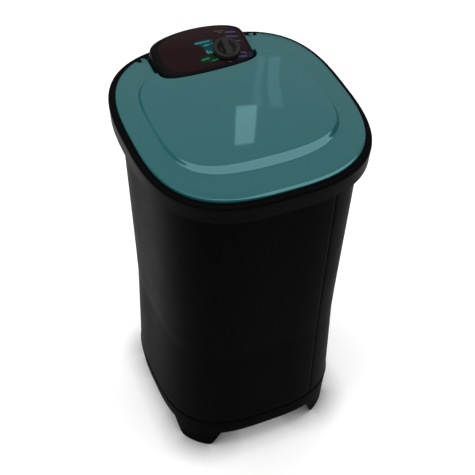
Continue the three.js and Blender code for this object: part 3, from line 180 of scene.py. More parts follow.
def turned(name, profile, steps):
    """A profile of (radius, height) turned about the vertical; it starts and ends on the axis, or closes."""
    form = bmesh.new()
    rows = []
    for radius, height in profile:
        spots = circle(radius, steps) if radius else [(0, 0)]
        rows.append([form.verts.new((x, y, height)) for x, y in spots])
    pairs = list(zip(rows, rows[1:]))
    if profile[0][0] > 0:
        pairs.append((rows[-1], rows[0]))
    for low, high in pairs:
        for step in range(steps):
            after = (step + 1) % steps
            around = ((low, step), (low, after), (high, after), (high, step))
            corners = [row[turn % len(row)] for row, turn in around]
            form.faces.new(list(dict.fromkeys(corners)))
    return as_piece(name, form)


def placed(piece, place, angle=0.0, axis="Z"):
    """Turns a piece's mesh about an axis through the origin and then moves it."""
    piece.data.transform(Matrix.Translation(place) @ Matrix.Rotation(angle, 4, axis))
    return piece


def rod(name, radius, low, high, x=0.0, y=0.0, steps=64):
    """An upright round bar between two heights."""
    return placed(turned(name, [(0, low), (radius, low), (radius, high), (0, high)], steps), (x, y, 0))


def arc(start, corner, end, steps=5):
    """Points of a round that leaves `start` towards `corner` and arrives at `end`."""
    points = []
    for step in range(steps + 1):
        share = step / steps
        points.append(tuple(
            (1 - share) ** 2 * a + 2 * share * (1 - share) * b + share ** 2 * c
            for a, b, c in zip(start, corner, end)
        ))
    return points


def shape_with(piece, tools, how="DIFFERENCE"):
    """Cuts, joins or trims a piece with other solids, which are used up."""
    for tool in tools:
        change = piece.modifiers.new("shape", "BOOLEAN")
        change.operation = how
        change.solver = "MANIFOLD"
        change.object = tool
    bpy.context.view_layer.update()
    ready = piece.evaluated_get(bpy.context.evaluated_depsgraph_get())
    mesh = bpy.data.meshes.new_from_object(ready)
    mesh.name = piece.name
    piece.modifiers.clear()
    old = piece.data
    piece.data = mesh
    bpy.data.meshes.remove(old)
    for tool in tools:
        bpy.data.meshes.remove(tool.data)
    return piece


def smooth(piece, sharp_angle=32):
    """Rounds the shading across gentle bends and keeps the edges sharper than the angle."""
    piece.data.shade_smooth()
    piece.data.set_sharp_from_angle(angle=math.radians(sharp_angle))
    return piece


def finish(name, colour, roughness, specular=0.5, metallic=0.0):
    """A plain surface: the sockets that don't vary are set here, the rest gets nodes."""
    material = bpy.data.materials.new(name)
    material.use_nodes = True
    shader = material.node_tree.nodes["Principled BSDF"]
    shader.inputs["Base Color"].default_value = (*colour, 1)
    shader.inputs["Roughness"].default_value = roughness
    shader.inputs["Specular IOR Level"].default_value = specular
    shader.inputs["Metallic"].default_value = metallic
    return material


def surface_noise(tree, scale, detail):
    """A noise that is fixed to the piece itself."""
    place = tree.nodes.new("ShaderNodeTexCoord")
    noise = tree.nodes.new("ShaderNodeTexNoise")
    noise.inputs["Scale"].default_value = scale
    noise.inputs["Detail"].default_value = detail
    tree.links.new(place.outputs["Object"], noise.inputs["Vector"])
    return noise.outputs["Fac"]


def colour_between(tree, amount, low, high):
    blend = tree.nodes.new("ShaderNodeMix")
    blend.data_type = "RGBA"
    blend.inputs["A"].default_value = (*low, 1)
    blend.inputs["B"].default_value = (*high, 1)
    tree.links.new(amount, blend.inputs["Factor"])
    return blend.outputs["Result"]


def value_between(tree, amount, low, high):
    spread = tree.nodes.new("ShaderNodeMapRange")
    spread.inputs["To Min"].default_value = low
    spread.inputs["To Max"].default_value = high
    tree.links.new(amount, spread.inputs["Value"])
    return spread.outputs["Result"]


def vary(material, socket, scale, low, high):
    """Lets a value of the shader drift between two values over the surface."""
    tree = material.node_tree
    between = colour_between if isinstance(low, tuple) else value_between
    drift = between(tree, surface_noise(tree, scale, 3), low, high)
    tree.links.new(drift, tree.nodes["Principled BSDF"].inputs[socket])


def grain(material, scale, depth, strength=0.4):
    """A fine bump: the texture that the mould or the tool leaves."""
    tree = material.node_tree
    bump = tree.nodes.new("ShaderNodeBump")
    bump.inputs["Strength"].default_value = strength
    bump.inputs["Distance"].default_value = depth
    tree.links.new(surface_noise(tree, scale, 2), bump.inputs["Height"])
    tree.links.new(bump.outputs["Normal"], tree.nodes["Principled BSDF"].inputs["Normal"])


def dress(piece, material, body, nodes=()):
    """Puts a material on a piece, ties it to its body, and hides the nodes it stands for."""
    piece.data.materials.clear()
    piece.data.materials.append(material)
    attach(piece, body)
    if nodes:
        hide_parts(*nodes)
    return piece


foot_outline = outline(0.3886, 0.3936, 2.94, sideways=0.0025)
skirt_outline = outline(0.3924, 0.398, 2.94, sideways=0.0025)
base_outline = outline(0.4004, 0.4038, 2.94, sideways=0.0015)
pad_places = [(x, y) for x in (-pad_offset, pad_offset) for y in (-pad_offset, pad_offset)]


def arch_tunnel(extra, along_x):
    """The tunnel under the machine, widened by `extra`: an arch with upright legs and a bowed crown."""
    slope = (foot_end_at_floor - foot_end_at_skirt) / skirt_edge
    foot = foot_end_at_floor - slope * foot_bottom + extra
    leg = foot - slope * foot_round
    above = foot_end_at_skirt + extra
    rise = skirt_edge + extra
    toe = arc((foot + foot_toe, foot_bottom), (foot, foot_bottom), (leg, foot_bottom + foot_round), 6)
    crown = arc((-above, rise), (0, rise + 2 * arch_rise), (above, rise), 24)
    profile = [(-foot - foot_toe, -overrun), *[(-across, z) for across, z in toe]]
    profile += [*crown, *reversed(toe), (foot + foot_toe, -overrun)]
    if along_x:
        return prism("tunnel", [(-beyond, y, z) for y, z in profile], (2 * beyond, 0, 0))
    return prism("tunnel", [(x, -beyond, z) for x, z in profile], (0, 2 * beyond, 0))


def foot_hollows():
    """The space inside the skirt, less the walls, ribs and pad sockets of the feet."""
    inside = skin("hollow", [
        ring(foot_outline, foot_wall, foot_bottom - overrun),
        ring(skirt_outline, foot_wall, skirt_edge),
        ring(skirt_outline, foot_wall, deck_top - foot_wall),
    ])
    keep = [arch_tunnel(foot_wall, True), arch_tunnel(foot_wall, False)]
    for side in (-1, 1):
        low, high = side * pad_offset - foot_rib / 2, side * pad_offset + foot_rib / 2
        keep.append(box_piece("rib", (low, -beyond, 0), (high, beyond, deck_top)))
        keep.append(box_piece("rib", (-beyond, low, 0), (beyond, high, deck_top)))
        for y_side in (-1, 1):
            for share in (0, 0.5, 1):
                reach = pad_offset + share * pad_radius
                socket = pad_radius + fit_gap + foot_wall
                keep.append(rod("socket", socket, 0, deck_top, side * reach, y_side * reach, 32))
    return shape_with(inside, keep)


lip_inner = lip_inset + lip_draft + moulding_wall
skirt = skin("base_moulding", [
    ring(foot_outline, foot_edge_inset, foot_bottom),
    ring(foot_outline, 0, foot_bottom + foot_edge_rise),
    ring(skirt_outline, 0, skirt_edge),
    *rings_on(base_outline, [
        (0, base_top - base_edge_round),
        (base_edge_round * 0.1, base_top - base_edge_round * 0.45),
        (base_edge_round * 0.45, base_top - base_edge_round * 0.1),
        (base_edge_round, base_top),
        (lip_inset, base_top),
        (lip_inset + lip_draft, base_top + lip_height),
        (lip_inner, base_top + lip_height),
        (lip_inner, deck_top),
    ]),
])
hole = rod("hole", deck_hole_radius, 0, base_top, steps=96)
recesses = [rod("recess", pad_radius + fit_gap, 0, pad_height, x, y, 48) for x, y in pad_places]
base = shape_with(skirt, [arch_tunnel(0, True), arch_tunnel(0, False), hole, foot_hollows(), *recesses])
cabinet_plastic = finish("cabinet_plastic", (0.0012, 0.0012, 0.0012), 0.42, specular=0.009)
vary(cabinet_plastic, "Base Color", 9, (0.0010, 0.0010, 0.0010), (0.0014, 0.0014, 0.0014))
vary(cabinet_plastic, "Roughness", 14, 0.36, 0.47)
grain(cabinet_plastic, 900, 0.0002, strength=0.25)
dress(smooth(base), cabinet_plastic, "cabinet", ["base_tray"])

# Foot pads
# Four black rubber discs pressed into round recesses under the feet. They keep the machine from walking.

pad_round = 0.0015
pad_dish = 0.0006
rubber = finish("rubber", (0.012, 0.012, 0.012), 0.85, specular=0.25)
vary(rubber, "Roughness", 60, 0.75, 0.95)
grain(rubber, 700, 0.0003)
for x, y in pad_places:
    corner = f"{'front' if y < 0 else 'rear'}_{'left' if x < 0 else 'right'}"
    pad = turned(f"pad_{corner}", [
        (0, pad_dish),
        (pad_radius * 0.55, pad_dish),
        (pad_radius * 0.6, 0),
        *arc((pad_radius - pad_round, 0), (pad_radius, 0), (pad_radius, pad_round)),
        (pad_radius, pad_height),
        (0, pad_height),
    ], 64)
    pad.location = (x, y, 0)
    dress(smooth(pad), rubber, "cabinet", [f"foot_pad_{corner}"])

# Cabinet wall: front shell and rear shell
# Two tall tapering shells of black plastic. One is the front wall and the left side, the other the right
# side and the rear wall. They meet in two upright seams, where tongues of the rear shell reach behind the
# front shell.

shell_wall = 0.003
shell_inset = 0.0012
waist_bottom = 0.322
waist_band = 0.060
waist_ledge = 0.0014
waist_shares = (0, 0.1, 0.2, 0.35, 0.5, 0.65, 0.8, 0.9, 1)
band_bottom = 0.763
rim_top = 0.8015
rim_wall = 0.003
tub_wall = 0.003
seam_at_top = 0.1138
seam_at_base = 0.1095
rear_seam_shift = 0.020
seam_gap = 0.0006
seam_round = 0.0016
pace_angle = 0.01
round_shares = (0, 0.15, 0.45, 1)
tongue_reach = 0.012
tongue_wall = 0.0027
tongue_gap = 0.0004
wall_columns = 100
foot_row_rises = (0, 0.0003, 0.0009, 0.002)
lower_row_pitch = 0.02
upper_row_start = 0.398
upper_row_pitch = 0.04
cover_width = 0.236
cover_bottom = 0.176
cover_height = 0.172
cover_lap = 0.012
outlet_x = -0.060
outlet_height = 0.140
outlet_hole_radius = 0.0193
gland_x = 0.070
gland_height = 0.140
gland_radius = 0.008
body_bottom = base_top + fit_gap
flange_top = rim_top - rim_wall - fit_gap
flange_bottom = flange_top - tub_wall
body_top = flange_bottom - fit_gap
waist_outline = outline(0.3806, 0.3958, 3.3)
top_outline = outline(0.4036, 0.421, 3.58)


def eased(value):
    """Nought to one with a gentle start and end."""
    value = min(max(value, 0), 1)
    return value * value * (3 - 2 * value)


waist_rows = [waist_bottom + waist_band * share for share in waist_shares]
waist_levels = [
    (height, waist_outline, -waist_ledge * eased(share)) for height, share in zip(waist_rows, waist_shares)
]
wall_levels = [(body_bottom, base_outline, shell_inset), *waist_levels]
wall_levels += [(band_bottom, top_outline, 0), (body_top, top_outline, 0)]
wall_rows = [body_bottom + rise for rise in foot_row_rises]
wall_rows += [body_bottom + lower_row_pitch * step for step in range(1, 12)]
wall_rows += [*waist_rows, *[upper_row_start + upper_row_pitch * step for step in range(10)]]
wall_rows += [band_bottom, body_top]
tongue_bottom = body_bottom + lip_height + tongue_gap
tongue_rows = [tongue_bottom, 0.2, 0.3, 0.308, 0.368, 0.5, 0.65, band_bottom, body_top]


def wall_point(angle, height, depth):
    """A point on the cabinet wall, `depth` inside its outer face."""
    for low, high in zip(wall_levels, wall_levels[1:]):
        if height <= high[0]:
            break
    share = (height - low[0]) / (high[0] - low[0])
    here = outline_point(low[1], low[2] + depth, angle, height)
    above = outline_point(high[1], high[2] + depth, angle, height)
    return here.lerp(above, min(share, 1))


def angle_at(x, height):
    """Where the front half of the wall reaches x, as an angle from straight ahead."""
    low, high = 0.0, math.pi / 2
    for _ in range(40):
        middle = (low + high) / 2
        if wall_point(middle - math.pi / 2, height, 0).x < x:
            low = middle
        else:
            high = middle
    return low


def seam_x(height):
    share = (height - base_top) / (band_bottom - base_top)
    return seam_at_base + (seam_at_top - seam_at_base) * min(max(share, 0), 1)


def front_seam(offset):
    return lambda height: angle_at(seam_x(height) + offset, height) - math.pi / 2


def rear_seam(offset):
    return lambda height: angle_at(seam_x(height) + rear_seam_shift + offset, height) + math.pi / 2


def whole_turn_on(seam):
    return lambda height: seam(height) + 2 * math.pi


def rounded_depth(distance, radius):
    """How far a rounded edge falls back at a distance from the edge."""
    short = max(radius - distance, 0)
    return radius - math.sqrt(max(radius ** 2 - short ** 2, 0))


def closed_sheet(name, form, outer, inner):
    """A solid sheet between two grids of corners."""
    for grid in (outer, inner):
        join_rows(form, grid)
    for edge in (0, -1):
        join_rows(form, [[row[edge] for row in outer], [row[edge] for row in inner]])
        join_rows(form, [outer[edge], inner[edge]])
    return as_piece(name, form)


def wall_sheet(name, start, end):
    """A piece of the cabinet wall between two upright edges, with rounded seam edges and a rounded foot."""
    form = bmesh.new()
    outer, inner = [], []
    for height in wall_rows:
        first, last = start(height), end(height)
        apart = wall_point(first + pace_angle, height, 0) - wall_point(first, height, 0)
        pace = apart.length / pace_angle
        round_angle = seam_round / pace
        angles = [first + share * round_angle for share in round_shares]
        flat_start, flat_end = angles[-1], last - round_angle
        pitch = (flat_end - flat_start) / wall_columns
        angles += [flat_start + pitch * step for step in range(1, wall_columns)]
        angles += [last - share * round_angle for share in reversed(round_shares)]
        foot = rounded_depth(height - body_bottom, seam_round)
        outer.append([])
        inner.append([])
        for angle in angles:
            from_edge = min(angle - first, last - angle) * pace
            depth = max(rounded_depth(from_edge, seam_round), foot)
            outer[-1].append(form.verts.new(wall_point(angle, height, depth)))
            inner[-1].append(form.verts.new(wall_point(angle, height, shell_wall)))
    return closed_sheet(name, form, outer, inner)


def tongue(seam):
    """A strip behind the front shell's edge, fixed to the rear shell."""
    near, away = shell_wall + fit_gap, shell_wall + fit_gap + tongue_wall
    rows = []
    for height in tongue_rows:
        start, end = seam(-tongue_reach)(height), seam(tongue_reach)(height)
        corners = ((start, near), (start, away), (end, away), (end, near))
        rows.append([wall_point(angle, height, depth) for angle, depth in corners])
    return strip("tongue", rows)


def along_y(name, radius, x, z, steps=64):
    """A round cutter that runs back through the rear wall."""
    return placed(rod(name, radius, 0, beyond, steps=steps), (x, 0, z), -math.pi / 2, "X")


def joined(name, pieces):
    """Makes one object of several meshes."""
    form = bmesh.new()
    for piece in pieces:
        form.from_mesh(piece.data)
        bpy.data.meshes.remove(piece.data)
    mesh = bpy.data.meshes.new(name)
    form.to_mesh(mesh)
    form.free()
    return in_scene(name, mesh)


front = wall_sheet("front_wall", rear_seam(seam_gap / 2), whole_turn_on(front_seam(-seam_gap / 2)))
dress(smooth(front), cabinet_plastic, "cabinet", ["front_shell"])
rear = wall_sheet("rear_wall", front_seam(seam_gap / 2), rear_seam(-seam_gap / 2))
window_half = cover_width / 2 - cover_lap
window_top = cover_bottom + cover_height - cover_lap
rear = shape_with(rear, [
    box_piece("window", (-window_half, 0, cover_bottom + cover_lap), (window_half, beyond, window_top)),
    along_y("outlet_hole", outlet_hole_radius, outlet_x, outlet_height),
    along_y("gland_hole", gland_radius + fit_gap, gland_x, gland_height),
])
rear = joined("rear_wall", [rear, tongue(front_seam), tongue(rear_seam)])
dress(smooth(rear), cabinet_plastic, "cabinet", ["rear_shell"])

# Back service cover
# A louvred plate of the same black plastic over the opening behind the belt drive. Four cross-head screws of
# zinc-plated steel hold it to the rear shell.

cover_wall = 0.0022
cover_screw_inset = 0.006
cover_columns = 48
cover_rows = 24
louvre_count = 6
louvre_width = 0.120
louvre_height = 0.006
louvre_pitch = 0.016
louvre_hood = 0.0024
louvre_root = 0.0008
screw_radius = 0.004
screw_head = 0.002
screw_flange = 0.0006
screw_shank_radius = 0.0016
screw_hole_radius = 0.0019
screw_length = 0.009
cross_half_width = 0.0004
cross_half_length = 0.0017
cross_depth = 0.0011


def rear_face(x, height):
    """How far back the wall reaches at x and a height."""
    return -wall_point(angle_at(abs(x), height) - math.pi / 2, height, 0).y


def rounded_rectangle(left, bottom, right, top, radius, steps=6):
    points = []
    for cx, cy, start in (
        (right - radius, bottom + radius, -90), (right - radius, top - radius, 0),
        (left + radius, top - radius, 90), (left + radius, bottom + radius, 180),
    ):
        for step in range(steps + 1):
            angle = math.radians(start + 90 * step / steps)
            points.append((cx + radius * math.cos(angle), cy + radius * math.sin(angle)))
    return points


def cover_sheet():
    """The curved plate itself, which follows the wall."""
    form = bmesh.new()
    grids = []
    for rise in (fit_gap + cover_wall, fit_gap):
        grid = []
        for row in range(cover_rows + 1):
            height = cover_bottom + cover_height * row / cover_rows
            across = [cover_width * (column / cover_columns - 0.5) for column in range(cover_columns + 1)]
            grid.append([form.verts.new((x, rear_face(x, height) + rise, height)) for x in across])
        grids.append(grid)
    return closed_sheet("service_cover", form, *grids)


def cover_cutter(left, bottom, right, top, radius):
    points = rounded_rectangle(left, bottom, right, top, radius)
    return prism("cutter", [(x, 0, z) for x, z in points], (0, beyond, 0))


def louvre(z):
    """A hood over one slot, which runs out towards both ends."""
    lines = []
    for column in range(25):
        x = louvre_width * 1.04 * (column / 24 - 0.5)
        face = rear_face(x, z) + fit_gap + cover_wall
        hood = louvre_hood * math.sqrt(max(1 - (abs(x) / (louvre_width * 0.525)) ** 8, 0))
        profile = [(-louvre_root, 0.95), (hood * 0.55, 0.8), (hood, 0.45), (hood * 0.9, 0.3)]
        profile.append((-louvre_root, 0.5))
        lines.append([(x, face + out, z + louvre_height * share) for out, share in profile])
    return strip("hood", lines)


cover_half = cover_width / 2
cover_middle = cover_bottom + cover_height / 2
cover_outline = cover_cutter(-cover_half, cover_bottom, cover_half, cover_bottom + cover_height, cover_lap)
cover = shape_with(cover_sheet(), [cover_outline], "INTERSECT")
louvre_places = [cover_middle + (row - (louvre_count - 1) / 2) * louvre_pitch for row in range(louvre_count)]
half, rise = louvre_width / 2, louvre_height / 2
slots = [cover_cutter(-half, z - rise, half, z + rise, louvre_height / 2.2) for z in louvre_places]
screw_places = [
    (x, z)
    for z in (cover_bottom + cover_screw_inset, cover_bottom + cover_height - cover_screw_inset)
    for x in (-cover_half + cover_screw_inset, cover_half - cover_screw_inset)
]
slots += [along_y("screw_hole", screw_hole_radius, x, z, 24) for x, z in screw_places]
cover = joined("service_cover", [shape_with(cover, slots), *[louvre(z) for z in louvre_places]])
dress(smooth(cover), cabinet_plastic, "cabinet", ["back_cover"])

steel = finish("zinc_steel", (0.32, 0.33, 0.34), 0.36, metallic=1.0)
vary(steel, "Roughness", 90, 0.28, 0.5)
grain(steel, 500, 0.0001, strength=0.2)
for number, (x, z) in enumerate(screw_places, 1):
    head = turned(f"cover_screw_{number}", [
        (0, -screw_length),
        (screw_shank_radius, -screw_length),
        (screw_shank_radius, 0),
        (screw_radius, 0),
        (screw_radius, screw_flange),
        *arc(
            (screw_radius, screw_flange),
            (screw_radius * 0.9, screw_head),
            (screw_radius * 0.45, screw_head),
        ),
        (0, screw_head),
    ], 48)
    cross = []
    for half_x, half_y in ((cross_half_width, cross_half_length), (cross_half_length, cross_half_width)):
        low = (-half_x, -half_y, screw_head - cross_depth)
        cross.append(box_piece("cross", low, (half_x, half_y, screw_head + overrun)))
    head = placed(shape_with(head, cross), (0, 0, 0), 0.4 * number)
    head = placed(head, (0, 0, 0), -math.pi / 2, "X")
    node_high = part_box(f"back_cover_screw_{number}")[1]
    head.location = (x, node_high.y - screw_head, z)
    dress(smooth(head), steel, "cabinet", [f"back_cover_screw_{number}"])

# Tub
# A deep dark-grey polypropylene tub that hangs by its flange between the rim and the cabinet. Its floor has a
# round dish for the agitator and a drain sump, and its left wall has guide rails for the lint filter.

tub_gap = 0.0005
tub_flange_reach = 0.024
mouth_shift = -0.0033
pocket_depth = 0.044
band_height = 0.392
tub_floor = 0.334
dish_radius = 0.122
dish_depth = 0.007
dish_floor = tub_floor - dish_depth
corner_swell = 0.003
corner_rise = 0.001
corner_steps = 9
side_shares = (0.03, 0.2, 0.4, 0.6, 0.8, 0.97)
sump_x = -0.102
sump_y = 0.099
sump_bore = 0.0148
sump_wall = 0.003
sump_length = 0.026
floor_hole_radius = 0.028
under_tub = 0.2
boss_top = 0.350
mouth_outline = outline(0.368, 0.380, 3.1, mouth_shift)
band_outline = outline(0.336, 0.346, 2.8, mouth_shift)
heel_outline = outline(0.326, 0.336, 2.8, mouth_shift)
floor_outline = outline(0.300, 0.310, 2.8, mouth_shift)
dish_outline = outline(2 * dish_radius, 2 * dish_radius, 2)
filter_x = -0.16396
filter_bottom = 0.545
filter_height = 0.120
filter_width = 0.088
filter_thickness = 0.005
guide_wall = 0.005
guide_lip = 0.004
guide_root = -0.225
guide_foot = 0.004
guide_share = 0.75
bracket_top = 0.318
motor_x = 0.092
motor_y = 0.092
mount_radius = 0.011
mount_places = [(along, across) for along in (-0.044, 0.034) for across in (-0.046, 0.046)]


def through(start, end, share):
    """The ring a share of the way from one ring to another."""
    return [a.lerp(b, share) for a, b in zip(start, end)]


def twin(piece):
    return in_scene(piece.name, piece.data.copy())


def tub_rings(extra):
    """The inner face of the tub from the dish to the flange, or its outer face when `extra` is the wall."""
    start = ring(floor_outline, -extra, tub_floor - extra)
    corner = ring(heel_outline, -extra - corner_swell, tub_floor + corner_rise - extra)
    band = ring(band_outline, -extra, band_height)
    mouth = ring(mouth_outline, -rim_wall - tub_gap - extra, rim_top - pocket_depth - overrun)
    rounds = []
    for step in range(1, corner_steps):
        share = step / corner_steps
        rounds.append(through(through(start, corner, share), through(corner, band, share), share))
    return [
        ring(dish_outline, -extra, dish_floor - extra),
        ring(dish_outline, -extra, tub_floor - extra),
        start,
        *rounds,
        band,
        *[through(band, mouth, share) for share in side_shares],
        mouth,
    ]


def filter_rails():
    """Two grooved rails and a sill on the left wall, and the slot that the filter frame slides in."""
    low_y, high_y = mouth_shift - filter_width / 2, mouth_shift + filter_width / 2
    inside = filter_x + filter_thickness + fit_gap
    bottom = filter_bottom - fit_gap
    top = filter_bottom + filter_height * guide_share
    rails = box_piece(
        "rails",
        (guide_root, low_y - guide_wall, bottom - guide_foot),
        (inside + guide_lip, high_y + guide_wall, top),
    )
    window = box_piece(
        "window",
        (-beyond, low_y + guide_lip, bottom),
        (inside + guide_lip + overrun, high_y - guide_lip, top + overrun),
    )
    slot = box_piece(
        "slot",
        (filter_x - fit_gap, low_y - fit_gap, bottom),
        (inside, high_y + fit_gap, top + overrun),
    )
    return shape_with(rails, [window]), slot


def tub_form():
    outside = skin("tub_wall", [
        *tub_rings(tub_wall),
        ring(mouth_outline, -rim_wall - tub_gap - tub_wall, flange_bottom),
        ring(mouth_outline, -tub_flange_reach, flange_bottom),
        ring(mouth_outline, -tub_flange_reach, flange_top),
    ])
    inside = skin("hollow", [*tub_rings(0), ring(mouth_outline, -rim_wall - tub_gap, flange_top + overrun)])
    rails, slot = filter_rails()
    rails = shape_with(rails, [twin(outside)], "INTERSECT")
    sump_bottom = dish_floor - tub_wall - sump_length
    sump = rod("sump", sump_bore + sump_wall, sump_bottom, tub_floor, sump_x, sump_y)
    turn = math.atan2(motor_y, motor_x)
    bosses = []
    for along, across in mount_places:
        boss = rod("boss", mount_radius, bracket_top + fit_gap, boss_top, along, across, 32)
        bosses.append(placed(boss, (motor_x, motor_y, 0), turn))
    tub = shape_with(outside, [sump, *bosses], "UNION")
    tub = shape_with(tub, [inside])
    tub = shape_with(tub, [rails], "UNION")
    sump_hole = rod("hole", sump_bore, under_tub, boss_top, sump_x, sump_y)
    floor_hole = rod("hole", floor_hole_radius, under_tub, boss_top, steps=96)
    return shape_with(tub, [slot, sump_hole, floor_hole])


tub_plastic = finish("tub_plastic", (0.023, 0.025, 0.027), 0.38, specular=0.4)
vary(tub_plastic, "Base Color", 7, (0.020, 0.022, 0.024), (0.027, 0.029, 0.031))
vary(tub_plastic, "Roughness", 20, 0.3, 0.45)
grain(tub_plastic, 700, 0.0002, strength=0.2)
dress(smooth(tub_form()), tub_plastic, "cabinet", ["tub"])

# Lint filter
# A white plastic frame that slides down between the rails, with a pale nylon net that hangs full of water and
# bulges into the tub. A tab at the top is the finger grip.

filter_border = 0.008
filter_round = 0.004
tab_half = 0.014
tab_height = 0.007
net_bulge = 0.01488
net_seat = 0.0012
net_bar = 0.0011
net_cell = 0.006
net_steps = 28


def filter_plate(points, extra=0.0):
    """A flat plate on the left wall from (y, z) points, thicker by `extra` on both faces."""
    face = [(filter_x - extra, y, z) for y, z in points]
    return prism("lint_frame", face, (filter_thickness + 2 * extra, 0, 0))


def lint_frame():
    left, right = mouth_shift - filter_width / 2, mouth_shift + filter_width / 2
    bottom, top = filter_bottom, filter_bottom + filter_height
    border = filter_border
    outer = rounded_rectangle(left, bottom, right, top, filter_round)
    inner = rounded_rectangle(left + border, bottom + border, right - border, top - border, filter_round)
    tab_left, tab_right = mouth_shift - tab_half, mouth_shift + tab_half
    tab = rounded_rectangle(tab_left, top - border, tab_right, top + tab_height, filter_round)
    plate = shape_with(filter_plate(outer), [filter_plate(inner, overrun)])
    return shape_with(plate, [filter_plate(tab)], "UNION")


def lint_net():
    """A bulging net of crossed threads inside the frame."""
    width = filter_width - 2 * filter_border - 2 * fit_gap
    height = filter_height - 2 * filter_border - 2 * fit_gap
    bag = bpy.data.curves.new("lint_net", "CURVE")
    bag.dimensions = "3D"
    bag.bevel_depth = net_bar / 2
    bag.bevel_resolution = 1
    for count, is_upright in ((int(width / net_cell), True), (int(height / net_cell), False)):
        for line in range(count + 1):
            fixed = -1 + 2 * line / count
            thread = bag.splines.new("POLY")
            thread.points.add(net_steps)
            for step, spot in enumerate(thread.points):
                run = -1 + 2 * step / net_steps
                across, up = (fixed, run) if is_upright else (run, fixed)
                edge = max(abs(across), abs(up))
                spot.co = (
                    filter_x + net_bulge * math.sqrt(max(1 - edge ** 3, 0)) + net_seat,
                    mouth_shift + across * (width / 2 - net_bar),
                    filter_bottom + filter_height / 2 + up * (height / 2 - net_bar),
                    1,
                )
    holder = in_scene("lint_net", bag)
    bpy.context.view_layer.update()
    mesh = bpy.data.meshes.new_from_object(holder.evaluated_get(bpy.context.evaluated_depsgraph_get()))
    bpy.data.objects.remove(holder)
    bpy.data.curves.remove(bag)
    return in_scene("lint_net", mesh)


white_plastic = finish("white_plastic", (0.66, 0.67, 0.64), 0.42, specular=0.45)
vary(white_plastic, "Base Color", 12, (0.62, 0.63, 0.60), (0.70, 0.71, 0.68))
grain(white_plastic, 600, 0.0002, strength=0.2)
net_nylon = finish("net_nylon", (0.56, 0.58, 0.57), 0.7, specular=0.3)
vary(net_nylon, "Base Color", 120, (0.48, 0.50, 0.49), (0.62, 0.64, 0.63))
grain(net_nylon, 2500, 0.0003)
dress(smooth(lint_frame()), white_plastic, "lint_filter", ["lint_filter_frame"])
dress(smooth(lint_net()), net_nylon, "lint_filter", ["lint_filter_net"])

# Bearing housing, bushes and seal
# A grey iron housing bolted up to the tub floor carries the drive shaft in two sintered bronze bushes, with a
# rubber lip seal on top. These solids keep their CAD form.


def paint(material, *nodes):
    """Gives CAD nodes whose shape is right a finished material."""
    for node in nodes:
        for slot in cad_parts[node].material_slots:
            slot.material = material


cast_metal = finish("cast_metal", (0.09, 0.095, 0.1), 0.6, metallic=0.8)
vary(cast_metal, "Base Color", 40, (0.07, 0.075, 0.08), (0.12, 0.125, 0.13))
grain(cast_metal, 350, 0.0008, strength=0.6)
bronze = finish("sintered_bronze", (0.26, 0.145, 0.05), 0.5, metallic=1.0)
vary(bronze, "Roughness", 300, 0.4, 0.65)
grain(bronze, 1500, 0.0002)
paint(cast_metal, "bearing_housing")
paint(bronze, "upper_bush", "lower_bush")
paint(rubber, "shaft_seal")
paint(steel, *[f"bearing_bolt_{number}" for number in range(1, 5)])

# Agitator
# A low dome of grey polypropylene with six curved fins, keyed to the shaft and held by a cap. It turns the
# wash one way and then the other.

agitator_radius = 0.116
agitator_edge = 0.006
agitator_clearance = 0.003
agitator_bottom = dish_floor + agitator_clearance
agitator_middle = agitator_bottom + agitator_edge / 2
agitator_top = agitator_bottom + agitator_edge
agitator_dome = 0.026
agitator_hub = 0.030
shaft_top = 0.351
shaft_radius = 0.008
under_agitator = 0.3
above_agitator = 0.4
cap_seat = shaft_top + fit_gap
cap_radius = 0.017
cap_low = cap_seat + fit_gap
cap_height = 0.007
fin_count = 6
fin_steps = 24
fin_height = 0.026
fin_length = 0.080
fin_bow = math.sin(math.radians(14)) * fin_length
fin_half_at_hub = 0.0035
fin_half_at_edge = 0.0018
fin_shoulder = 0.0016
fin_crown = 0.0003


def agitator_fin(turn):
    """One curved upright fin, thinner at its crest and lower towards the plate's edge."""
    rows = []
    for step in range(fin_steps + 1):
        share = step / fin_steps
        x = agitator_hub * 0.6 + fin_length * share
        y = -share * (1 - share) * fin_bow
        half = fin_half_at_hub * (1 - share) + fin_half_at_edge * share
        crest = agitator_top + fin_height * (0.8 + 0.2 * math.sin(math.pi * min(share * 1.25, 1) / 1.25))
        fall = min(max((x - agitator_radius * 0.72) / (agitator_radius * 0.22), 0), 1) ** 1.6
        crest += (agitator_top + fin_height * 0.3 - crest) * fall
        section = [(1, agitator_middle), (0.75, crest - fin_shoulder), (0.4, crest - fin_crown)]
        left = [(x, y - half * across, z) for across, z in section]
        right = [(x, y + half * across, z) for across, z in section]
        rows.append([*left, *reversed(right)])
    return placed(strip("fin", rows), (0, 0, 0), turn)


def agitator_form():
    edge = agitator_radius - agitator_edge / 2
    shoulder = (agitator_hub * 1.2, agitator_top + agitator_dome * 0.5)
    flare = (agitator_hub * 1.9, agitator_bottom + agitator_edge * 1.5)
    crown = (agitator_hub * 0.7, cap_seat)
    dome = turned("agitator_plate", [
        (0, agitator_middle),
        (agitator_hub, agitator_bottom),
        *arc((edge, agitator_bottom), (agitator_radius, agitator_bottom), (agitator_radius, agitator_middle)),
        *arc((agitator_radius, agitator_middle), (agitator_radius, agitator_top), (edge, agitator_top))[1:],
        *arc((edge, agitator_top), flare, shoulder, 14)[1:],
        *arc(shoulder, (agitator_hub * 0.9, cap_seat), crown, 8)[1:],
        (0, cap_seat),
    ], 128)
    dome = shape_with(dome, [agitator_fin(turn) for turn in whole_turn(fin_count)], "UNION")
    return shape_with(dome, [
        rod("space", cap_radius + fit_gap, cap_seat, above_agitator),
        rod("bore", shaft_radius + fit_gap, under_agitator, above_agitator, steps=48),
    ])


